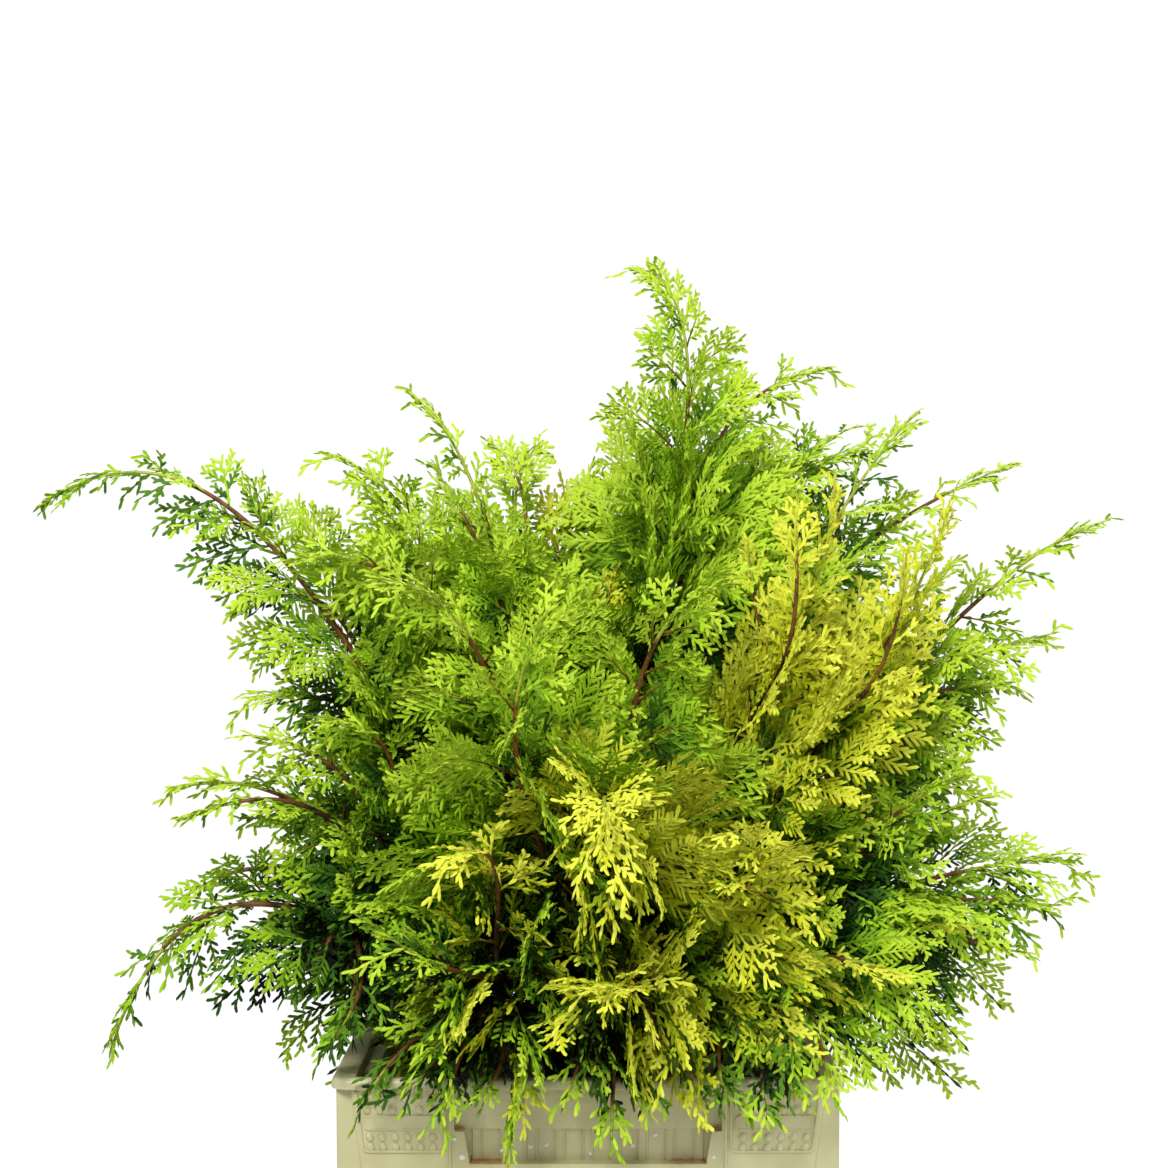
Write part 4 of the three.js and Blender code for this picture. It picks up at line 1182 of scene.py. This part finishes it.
def leaf_shade(cords, owner, share):
    """How dark each leaf's colour is, from 0 at bright tips to 1 in the shade."""
    depth = cords.depth[owner]
    glow = cords.glow[owner]
    height = cords.root[owner, 2]
    fall = (DUSK["from"] - height) / (DUSK["from"] - DUSK["to"])
    low = DUSK["most"] * np.clip(fall, 0, 1) * (DUSK["thick"] - depth)
    low -= DUSK["above"] * np.clip(-fall, 0, 1)
    place = cords.point(0.6)
    hollow = np.zeros(len(cords))
    for middle, reach, darker in HOLLOWS:
        far = np.linalg.norm(place - middle, axis=1) / reach
        hollow += darker * smooth(DARKNESS["edge"] * (1 - far))
    low += hollow[owner]
    dark = DARKNESS["most"] - DARKNESS["open"] * depth - DARKNESS["young"] * glow
    return np.clip(dark - DARKNESS["near_tip"] * share + low, 0, DARKNESS["darkest"])


def grow_cords(shoots):
    """All the leafy cords in three lots, by how their leaves are made, and the sprays among them."""
    rng = np.random.default_rng(SEED)
    sprays = all_sprays(shoots)
    sprays.depth = crown_depth(sprays.point(0.7))
    tips = Cords.join([apex_of(s) for s in shoots])
    tips.depth = np.ones(len(tips))
    sprays = Cords.join([sprays, tips])
    sprays = sprays.pick(clear_of_tub(sprays))
    inner = sprays.depth < INNER
    outer_sprays = sprays.pick(~inner)
    branchlets = branch(outer_sprays, BRANCHLETS, rng)
    branchlets = branchlets.pick(clear_of_tub(branchlets))
    long = branchlets.length > TWIGLETS_FROM
    twiglets = branch(branchlets.pick(long), TWIGLETS, rng)
    twiglets = twiglets.pick(clear_of_tub(twiglets))
    inner_sprays = sprays.pick(inner)
    inner_branchlets = branch(inner_sprays, INNER_BRANCHLETS, rng)
    inner_branchlets = inner_branchlets.pick(clear_of_tub(inner_branchlets))
    growth = Cords.join([branchlets, inner_branchlets])
    for cords in (outer_sprays, branchlets, twiglets, inner_sprays, inner_branchlets):
        cords.depth = openness(cords, growth)
    axes = Cords.join([outer_sprays, branchlets.pick(long)])
    fingers = Cords.join([branchlets.pick(~long), twiglets])
    inside = Cords.join([inner_sprays, inner_branchlets])
    return sprays, axes, fingers, inside


def grow_foliage(shoots, materials):
    sprays, axes, fingers, inside = grow_cords(shoots)
    by_colour = {name: [] for name in LEAF_COLOURS}
    rng = np.random.default_rng(SEED + 5)
    for cords, leaf in ((axes, AXIS_LEAF), (inside, INNER_LEAF), (fingers, FINGER_LEAF)):
        corners, owner, share = leaf_corners(cords, leaf, rng)
        shade = leaf_shade(cords, owner, share)
        tint = cords.tint[owner]
        for k, name in enumerate(TINTS):
            scale = LEAF_SCALES[name]
            level = np.floor(shade * len(scale)).astype(int)
            for i, colour in enumerate(scale):
                chosen = corners[(tint == k) & (level == i)]
                if len(chosen):
                    by_colour[colour].append((chosen, leaf_triangles(leaf)))
    for colour, lots in by_colour.items():
        triangles = sum(len(corners) * len(faces) for corners, faces in lots)
        pieces = math.ceil(triangles / LARGEST_PIECE)
        for number in range(pieces):
            points, faces, first = [], [], 0
            for corners, leaf_faces in lots:
                part = np.array_split(corners, pieces)[number]
                starts = first + np.arange(len(part)) * part.shape[1]
                points.append(part.reshape(-1, 3))
                faces.append((starts[:, None, None] + leaf_faces).reshape(-1, 3))
                first += len(points[-1])
            label = f"leaves_{colour}_{number + 1}"
            points, faces = np.concatenate(points), np.concatenate(faces)
            piece = mesh_object(label, points, faces, materials[colour])
            settle(piece, LEAF_COLOURS[colour][1], *FOLIAGE_NODES)
    return sprays


# Stems and bark


def tube(path, radii, sides, relief):
    """Points and four-cornered faces of a tube along a path, with its ends closed by a ring on the axis."""
    along = unit(np.gradient(path, axis=0))
    side = np.zeros_like(path)
    last = np.array((1.0, 0, 0)) if abs(along[0][2]) > 0.9 else np.array((0, 0, 1.0))
    for i, way in enumerate(along):
        last = last - way * (last @ way)
        last /= math.sqrt(last @ last)
        side[i] = last
    other = np.cross(along, side)
    turns = circle(sides)
    radius = radii[:, None] * relief(np.arange(len(path)), turns)
    ring = side[:, None] * np.cos(turns)[None, :, None] + other[:, None] * np.sin(turns)[None, :, None]
    points = path[:, None] + ring * radius[..., None]
    ends = [np.repeat(path[:1, None], sides, axis=1), np.repeat(path[-1:, None], sides, axis=1)]
    points = np.concatenate([ends[0], points, ends[1]])
    return points.reshape(-1, 3), grid_faces(len(points), sides)


def grid_faces(rows, columns):
    """Faces of a grid of points that closes round on itself along its columns."""
    row, col = np.meshgrid(np.arange(rows - 1), np.arange(columns), indexing="ij")
    a = row * columns + col
    b = row * columns + (col + 1) % columns
    return np.stack([a, b, b + columns, a + columns], axis=-1).reshape(-1, 4)


def bark_relief(rng, strength):
    """Long ridges that wander round a limb and now and then break off."""
    phases = rng.uniform(0, 2 * math.pi, 4)

    def relief(rows, turns):
        r = rows[:, None]
        t = turns[None, :]
        ridges = np.sin(5 * t + phases[0] + 0.9 * np.sin(r * 0.11 + phases[1]))
        fine = np.sin(9 * t - phases[2] + 1.7 * np.sin(r * 0.23 + phases[3]))
        breaks = np.sin(r * 0.37 + 3 * t + phases[1]) ** 2
        return 1 + strength * (0.6 * ridges + 0.4 * fine) * (0.55 + 0.45 * breaks)

    return relief


def make_bark(shoots, material):
    """The stool and the bare boughs, with the bark's ridges in their shape."""
    rng = np.random.default_rng(SEED + 1)
    heap = Heap()
    centre, knuckle = STOOL["centre"], STOOL["radius"]
    outline = [(STOOL["flare"], STOOL_FOOT)]
    for share in np.linspace(0.08, 1, 10):
        narrowed = lerp(STOOL["flare"], STOOL["waist"], math.sin(share * math.pi / 2))
        outline.append((narrowed, STOOL_FOOT + STOOL["flare_height"] * share))
    for lift in range(-26, 90, 6):
        angle = math.radians(lift)
        outline.append((knuckle * math.cos(angle), centre + knuckle * math.sin(angle)))
    sides = BARK["stool_sides"]
    turns = circle(sides)
    rows = [np.tile((0, 0, STOOL_FOOT), (sides, 1))]
    relief = bark_relief(rng, BARK["stool"])(np.arange(len(outline)) * 3, turns * 3)
    for i, (radius, z) in enumerate(outline):
        low = np.clip(1 - (z - STOOL_FOOT) / STOOL["flare_height"], 0, 1)
        swell = 1 + 0.1 * low * np.cos(5 * turns)
        if i > 0:
            swell = swell * relief[i]
        x, y = np.cos(turns) * radius * swell, np.sin(turns) * radius * swell
        rows.append(np.column_stack([x, y, np.full(sides, z)]))
    rows.append(np.tile((0, 0, centre + knuckle), (sides, 1)))
    heap.add(np.concatenate(rows), grid_faces(len(rows), sides))
    for shoot in shoots:
        if shoot.parent:
            continue
        share = np.linspace(0, shoot.bare + BARK["over"], BARK["bough_rings"])
        radii = shoot.radius(share) * lerp(BARK["thicker"], 1, smooth(share / BARK["thicker_over"]))
        relief = bark_relief(rng, BARK["bough"])
        heap.add(*tube(shoot.curve.point(share), radii, BARK["bough_sides"], relief))
    heap.finish("bark", material, "bark", "stool", *BOUGH_NODES)


def make_stems(shoots, sprays, bark, young, green, golden):
    """The stems inside the foliage: bark below, red-brown where young, green at their tips."""
    rng = np.random.default_rng(SEED + 2)
    for (name, stretch), material in zip(STRETCHES.items(), (bark, young, green)):
        first, stop, sides = stretch
        heap = Heap()
        for shoot in shoots:
            start = max(first, shoot.bare)
            if stop <= start:
                continue
            steps = max(4, int(shoot.curve.length * (stop - start) / STEM["step"]))
            share = np.linspace(start, stop, steps)
            slim = lerp(STEM["slim"], STEM["tip"], smooth((share - 0.7) / 0.3))
            radii = shoot.radius(share) * slim
            relief = bark_relief(rng, STEM["relief"])
            heap.add(*tube(shoot.curve.point(share), radii, sides, relief))
        heap.finish(name, material, "bark", *FOLIAGE_NODES)
    is_gold = sprays.tint == TINTS.index("gold")
    for name, material, chosen in (("twigs", young, ~is_gold), ("twigs_golden", golden, is_gold)):
        woody_feet(name, material, sprays.pick(chosen & (sprays.length > STEM["least_spray"])))


def woody_feet(name, material, sprays):
    """The woody foot of each spray: a thin three-sided stem that runs out along it."""
    heap = Heap()
    shares = np.array(STEM["foot_shares"])
    thin, more = STEM["foot_radius"]
    rings = [np.repeat(sprays.root[:, None], 3, axis=1)]
    for share in shares:
        _, across, face = sprays.lie(share)
        radius = column((thin + more * sprays.length) * (1 - share / shares[-1]))
        centre = sprays.point(share)
        ring = [
            centre + (across * math.cos(a) + face * math.sin(a)) * radius
            for a in np.radians((0, 120, 240))
        ]
        rings.append(np.stack(ring, axis=1))
    for cord in np.stack(rings, axis=1):
        heap.add(cord.reshape(-1, 3), grid_faces(len(cord), 3))
    heap.finish(name, material, "bark", *FOLIAGE_NODES)


# Tub and compost


def body_half(drop):
    """Outer half sizes of the tapered body at a drop below the rim's top."""
    below = np.asarray(drop, float) - TUB["rim_height"]
    share = np.clip(below / (TUB_HEIGHT - TUB["rim_height"]), 0, 1)
    return lerp(np.array(TUB["top_half"], float), np.array(TUB["base_half"], float), column(share))


def step(value, edge, soft):
    """Rises from 0 to 1 across an edge."""
    return smooth((value - edge) / (2 * soft) + 0.5)


def between(value, low, high, soft):
    return step(value, low, soft) * (1 - step(value, high, soft))


class Wall:
    """One leaning wall of the tub. A place on it is a distance along from its middle, a drop below
    the rim's top, and how far it stands out from the wall's face."""

    def __init__(self, turn):
        self.turn = math.radians(turn)
        self.long = turn % 180 == 0
        self.wide = 0 if self.long else 1
        self.straight = TUB["straight"][self.wide]
        self.widest = TUB["top_half"][self.wide] - TUB["corner"]

    def place(self, along, drop, out, shorter=0.0):
        along, drop, out = np.broadcast_arrays(*(np.asarray(v, float) for v in (along, drop, out)))
        half = body_half(drop)
        flat = half[..., self.wide] - TUB["corner"] - shorter
        past = (np.abs(along) - self.straight) / (self.widest - self.straight)
        drawn_in = np.sign(along) * lerp(self.straight, flat, past)
        aside = np.where(past > 0, drawn_in, along)
        away = half[..., 1 - self.wide] + out
        c, s = math.cos(self.turn), math.sin(self.turn)
        return np.stack([aside * c + away * s, aside * s - away * c, TUB_HEIGHT - drop], axis=-1)

    def columns(self):
        """Where the wall's skin has its columns of points: at each feature's two edges."""
        edge = TUB["edge"]
        grip = GRIP["half"][self.wide]
        places = {0.0, grip - edge, grip + edge, self.straight, self.widest}
        places |= {lerp(self.straight, self.widest, share) for share in (0.25, 0.5, 0.75)}
        if self.long:
            places |= {NICHE["half"][0] - edge, NICHE["half"][0] + edge}
            for i in range(FLUTE["count"] // 2 + 1):
                middle = i * FLUTE["pitch"]
                for offset, _ in FLUTE_SECTION:
                    places |= {middle + offset, abs(middle - offset)}
        else:
            places |= {grip * share for share in (0.3, 0.6, 0.8)}
        ordered = np.array(sorted(places))
        return np.concatenate([-ordered[:0:-1], ordered])

    def relief(self, along, drop):
        """How far the outer face stands out of the wall, and how far aside it is drawn."""
        edge = TUB["edge"]
        far = np.abs(along)
        grip = between(drop, *GRIP["drop"], edge) * (1 - step(far, GRIP["half"][self.wide], edge))
        out = BAND["proud"] * between(drop, *BAND["drop"], edge) - GRIP["deep"] * grip
        aside = np.zeros_like(out)
        if self.long:
            top, low = GRIP["drop"][1], NICHE["low"]
            lean = np.clip((drop - top) / (low - top), 0, 1)
            niche = between(drop, top, low, edge) * (1 - step(far, NICHE["half"][0], edge))
            nearest = np.round(along / FLUTE["pitch"])
            nearest = np.clip(nearest, -(FLUTE["count"] // 2), FLUTE["count"] // 2) * FLUTE["pitch"]
            flute = np.interp(np.abs(along - nearest), *np.transpose(FLUTE_SECTION))
            out = out - (NICHE["deep"] - flute) * niche
            near_edge = 1 - smooth((np.abs(far - NICHE["half"][0]) - 1) / 5)
            aside = np.sign(along) * near_edge * lean * (NICHE["half"][1] - NICHE["half"][0])
        return out, aside

    def pressed(self, along, drop):
        """How far the inner face stands in from the wall's outer face."""
        half = GRIP["half"][self.wide] + BACKING["margin"]
        low = (NICHE["low"] if self.long else GRIP["drop"][1]) + BACKING["margin"]
        behind = (1 - step(np.abs(along), half, 2)) * (1 - step(drop, low, 2))
        return TUB["wall"] + (BACKING["deep"] - TUB["wall"]) * behind


WALLS = [Wall(turn) for turn in (0, 90, 180, 270)]


def skin_loop(drop, inner, gap=0.0):
    """One level loop of the tub's skin, all round through its four walls and rounded corners. The
    gap draws it in further."""
    loop = []
    # Inside, the flat stretches end sooner, so that the corners there are round too.
    shorter = TUB["wall"] + gap + TUB["inner_corner"] - TUB["corner"] if inner else 0
    for k, wall in enumerate(WALLS):
        along = wall.columns()
        if inner:
            out, aside = -wall.pressed(along, drop) - gap, 0
        else:
            out, aside = wall.relief(along, np.full(len(along), float(drop)))
            out = out - foot_rounding(drop)
        loop.append(wall.place(along + aside, drop, out, shorter))
        # The corner to the next wall
        half = body_half(drop) - TUB["corner"] - shorter
        sx, sy = CORNERS[k]
        if inner:
            radius = TUB["inner_corner"]
        else:
            radius = TUB["corner"] + BAND["proud"] * between(drop, *BAND["drop"], TUB["edge"])
            radius -= foot_rounding(drop)
        turns = wall.turn - math.pi / 2 + np.radians(TUB["corner_turns"])
        x = sx * half[..., 0] + radius * np.cos(turns)
        y = sy * half[..., 1] + radius * np.sin(turns)
        loop.append(np.column_stack([x, y, np.full(len(turns), TUB_HEIGHT - drop)]))
    return np.concatenate(loop)


def foot_rounding(drop):
    """How far the rounded edge of the tub's base is drawn in."""
    radius = TUB["foot_round"]
    above = np.clip(TUB_HEIGHT - drop, 0, radius)
    return radius - np.sqrt(np.maximum(radius**2 - (radius - above) ** 2, 0))


def capped(loops):
    """A closed form through several loops of points, with its two ends drawn in to a point."""
    ends = [np.tile(loop.mean(axis=0), (len(loop), 1)) for loop in (loops[0], loops[-1])]
    rows = [ends[0], *loops, ends[1]]
    return np.concatenate(rows), grid_faces(len(rows), len(rows[0]))


def tub_skin():
    """The tub's tapered body as one closed shell, from its floor up inside and down outside."""
    edge = TUB["edge"]
    inner_drops = [TUB["top_drop"], *TUB["inner_drops"], TUB_HEIGHT - TUB["floor"]]
    outer_drops = {TUB["top_drop"], *TUB["outer_drops"]}
    for feature in (*GRIP["drop"], NICHE["low"], *BAND["drop"]):
        outer_drops |= {feature - edge, feature + edge}
    foot = TUB["foot_round"]
    outer_drops |= {TUB_HEIGHT - foot * share for share in (1, 0.55, 0.22, 0.06, 0)}
    loops = [skin_loop(drop, True) for drop in inner_drops[::-1]]
    loops += [skin_loop(drop, False) for drop in sorted(outer_drops)]
    return capped(loops)


def rounded_loop(half, corner, height):
    """A level rounded rectangle."""
    loop = []
    for k, (sx, sy) in enumerate(CORNERS):
        turns = np.radians(90 * k - 90 + np.linspace(0, 90, 9))
        x = sx * (half[0] - corner) + corner * np.cos(turns)
        y = sy * (half[1] - corner) + corner * np.sin(turns)
        loop.append(np.column_stack([x, y, np.full(len(turns), height)]))
    return np.concatenate(loop)


def rim_roll():
    """The rolled rim: a hooked lip swept round the mouth."""
    loops = []
    mouth = np.array(TUB["top_half"]) - TUB["wall"]
    # Each point of the section: in from the outer edge or out from the mouth, and how far down.
    for side, inset, drop in RIM_SECTION:
        if side == "outer":
            half = RIM_HALF - inset
            corner = TUB["rim_corner"] - inset
        else:
            half = mouth + inset
            corner = TUB["inner_corner"] + inset
        loops.append(rounded_loop(half, corner, TUB_HEIGHT - drop))
    points = np.concatenate([*loops, loops[0]])
    return points, grid_faces(len(loops) + 1, len(loops[0]))


def raised_line(wall, path, width, proud):
    """A narrow raised line along a path of [along, drop] places on a wall."""
    path = np.array(path, float)
    way = unit(np.gradient(path, axis=0))
    across = np.column_stack([-way[:, 1], way[:, 0]])
    section = ((-0.5, -1), (-0.5, 0.5), (-0.25, 1), (0.25, 1), (0.5, 0.5), (0.5, -1))
    rows = []
    for place, side in zip(path, across):
        outs = [proud * out if out > 0 else -TUB["sunk"] for _, out in section]
        spots = np.array([place + side * width * share for share, _ in section])
        rows.append(wall.place(spots[:, 0], spots[:, 1], outs))
    return capped(rows)


def label_panel(heap, wall, side):
    """A framed label panel: its raised frame, its bare label plate, and rows of round studs."""
    (top, low), corner = PANEL["drop"], PANEL["corner"]
    near, far = PANEL["along"]
    path = [(near, top), (near, low - corner)]
    turns = np.radians(np.arange(15, 90, 15))
    path += [(near + corner * (1 - math.cos(t)), low - corner * (1 - math.sin(t))) for t in turns]
    path += [(near + corner, low), (far - corner, low)]
    path += [(far - corner * (1 - math.sin(t)), low - corner * (1 - math.cos(t))) for t in turns]
    path += [(far, low - corner), (far, lerp(top, low, 0.5)), (far, top)]
    path = [(side * along, drop) for along, drop in path]
    heap.add(*raised_line(wall, path, PANEL["line"], PANEL["proud"]))
    # The plate has a thin raised border round a plain field.
    middle = np.mean(PLATE["along"]), np.mean(PLATE["drop"])
    half = np.array([np.ptp(PLATE[way]) / 2 for way in ("along", "drop")])
    border = PLATE["border"]
    rows = []
    for inset, out in (
        (0, -TUB["sunk"]), (0, PLATE["proud"] - 0.25), (0.25, PLATE["proud"]),
        (border, PLATE["proud"]), (border + 0.3, PLATE["proud"] - PLATE["field"]),
    ):
        outline = rounded_loop(half - inset, PLATE["corner"] - inset, 0)
        rows.append(wall.place(side * middle[0] + outline[:, 0], middle[1] + outline[:, 1], out))
    heap.add(*capped(rows))
    for drop in STUDS["drops"]:
        for i in range(STUDS["count"]):
            along = side * (STUDS["first"] + i * STUDS["pitch"])
            heap.add(*dome(wall, along, drop, STUDS["radius"], STUDS["proud"], TUB["sunk"], STUDS["sides"]))


def dome(wall, along, drop, radius, proud, sunk, sides):
    """A low round dome on a wall."""
    rows = []
    turns = circle(sides)
    levels = [(1, -sunk), (1, 0)]
    levels += [(math.cos(a), proud * math.sin(a)) for a in np.radians((25, 48, 70))]
    for share, out in levels:
        ring = radius * share
        rows.append(wall.place(along + ring * np.cos(turns), drop + ring * np.sin(turns), out))
    return capped(rows)


def corner_flange(sx, sy):
    """A flange that stands out from an end wall beside the corner, with soft edges."""
    inner, outer = FLANGE["inner"], FLANGE["outer"]
    top, foot = TUB["top_drop"], TUB["top_drop"] + FLANGE["drop"]
    mesh = bmesh.new()
    for drop, furthest in ((top, outer), (foot - FLANGE["slant"], outer), (foot, inner)):
        front = body_half(drop)[..., 1] - FLANGE["set_back"]
        for x in (inner, furthest):
            for y in (front, front - FLANGE["deep"]):
                mesh.verts.new((sx * x, sy * y, TUB_HEIGHT - drop))
    bmesh.ops.remove_doubles(mesh, verts=mesh.verts, dist=0.01)
    hull = bmesh.ops.convex_hull(mesh, input=mesh.verts)
    inside = [v for v in hull["geom_interior"] if isinstance(v, bmesh.types.BMVert)]
    bmesh.ops.delete(mesh, geom=inside, context="VERTS")
    bmesh.ops.dissolve_limit(mesh, angle_limit=0.02, verts=mesh.verts, edges=mesh.edges)
    soft = {"offset": FLANGE["round"], "segments": 2, "profile": 0.5}
    bmesh.ops.bevel(mesh, geom=mesh.edges, affect="EDGES", **soft)
    bmesh.ops.triangulate(mesh, faces=mesh.faces)
    return bmesh_arrays(mesh)


def make_tub(material):
    heap = Heap()
    heap.add(*tub_skin())
    heap.add(*rim_roll())
    for sx in (-1, 1):
        for sy in (-1, 1):
            heap.add(*corner_flange(sx, sy))
    for wall in WALLS:
        bead = BEAD["along"][wall.wide]
        drops = np.linspace(*BEAD["drop"], 6)
        for side in (-1, 1):
            path = [(side * bead, drop) for drop in drops]
            heap.add(*raised_line(wall, path, BEAD["width"], BEAD["proud"]))
            if wall.long:
                label_panel(heap, wall, side)
    heap.finish("tub_shell", material, "tub_plastic", "tub", crease=TUB["crease"])


def make_droplets(material):
    """Drops of water left on the fluted walls and the label panels."""
    rng = np.random.default_rng(SEED + 3)
    heap = Heap()
    for wall in WALLS:
        if not wall.long:
            continue
        for _ in range(DROPLETS["count"]):
            along = rng.uniform(*DROPLETS["along"]) * rng.choice((-1, 1))
            drop = rng.uniform(*DROPLETS["drop"])
            radius = rng.uniform(*DROPLETS["radius"])
            proud = radius * DROPLETS["proud"]
            level = float(wall.relief(np.array([along]), np.array([drop]))[0][0])
            form = dome(wall, along, drop, radius, proud, DROPLETS["sunk"], DROPLETS["sides"])
            outward = wall.place(0.0, drop, 1.0) - wall.place(0.0, drop, 0.0)
            heap.add(form[0] + outward * level, form[1])
    heap.finish("water_drops", material, "tub_plastic", "tub", crease=DROPLETS["crease"])


def make_compost(material):
    """The compost: mounded and crumbly on top, and close to the tub's inside below."""
    rng = np.random.default_rng(SEED + 4)
    heap = Heap()
    top_drop = TUB_HEIGHT - SOIL_TOP
    drops = (TUB_HEIGHT - COMPOST_FOOT, *COMPOST["drops"], top_drop + 4, top_drop + 1.5)
    loops = [skin_loop(drop, True, COMPOST["gap"]) for drop in drops]
    edge = loops[-1]
    waves = rng.uniform(0, 2 * math.pi, 6)
    for share in COMPOST["rings"]:
        loop = edge * (share, share, 1)
        x, y = loop[:, 0], loop[:, 1]
        swell = np.sin(x * 0.045 + waves[0]) * np.sin(y * 0.06 + waves[1])
        smaller = 0.6 * np.sin(x * 0.13 + y * 0.09 + waves[2])
        swell = swell + smaller * np.sin(y * 0.17 - x * 0.05 + waves[3])
        crumbs = rng.uniform(-1, 1, len(loop))
        drop_in = COMPOST["sunk"] - COMPOST["swell"] * swell - COMPOST["rough"] * crumbs
        loop[:, 2] = SOIL_TOP - np.maximum(drop_in, 0)
        loops.append(loop)
    heap.add(*capped(loops))
    points, faces = crumb_form()
    size = rng.uniform(*COMPOST["crumb_size"], COMPOST["crumbs"])
    reach = body_half(top_drop) - TUB["wall"] - BACKING["deep"] - 4
    for i in range(COMPOST["crumbs"]):
        x, y = rng.uniform(-1, 1, 2) * reach
        rough = points * rng.uniform(0.75, 1.25, (len(points), 1)) * size[i]
        rough = rough * (1, rng.uniform(0.7, 1), 0.7)
        turn = rng.uniform(0, 2 * math.pi)
        c, s = math.cos(turn), math.sin(turn)
        spun = rough @ np.array([[c, s, 0], [-s, c, 0], [0, 0, 1]])
        lift = SOIL_TOP - COMPOST["sunk"] + rng.uniform(-0.2, 0.5) * size[i]
        lift = min(lift, SOIL_TOP - spun[:, 2].max())
        heap.add(spun + (x, y, lift), faces)
    heap.finish("compost_bed", material, "compost", "compost", smooth_faces=False)


def crumb_form():
    """The corners and faces of a round crumb, before it is made rough."""
    ball = bmesh.new()
    bmesh.ops.create_icosphere(ball, subdivisions=1, radius=1.0)
    points, faces = bmesh_arrays(ball)
    return np.array(points), faces


# Build

set_camera()
set_studio()

leaf_materials = {name: leaf_material(f"leaf_{name}", c) for name, (c, _) in LEAF_COLOURS.items()}
bark = bark_material()
young_stem = stem_material("young_stem", "#4c2a10", "#875722")
green_stem = stem_material("green_stem", "#8a9a32", "#b4b83c")
golden_stem = stem_material("golden_stem", "#9a6a24", "#c79a38")

shoots = grow_shoots()
sprays = grow_foliage(shoots, leaf_materials)
make_bark(shoots, bark)
make_stems(shoots, sprays, bark, young_stem, green_stem, golden_stem)

make_tub(tub_material())
make_droplets(water_painted_highlight_material())
make_compost(compost_material())

bpy.ops.mesh.primitive_circle_add(vertices=96, radius=1.0, fill_type="NGON")
floor = bpy.context.object
floor.name = "floor"
floor.data.materials.append(floor_material())
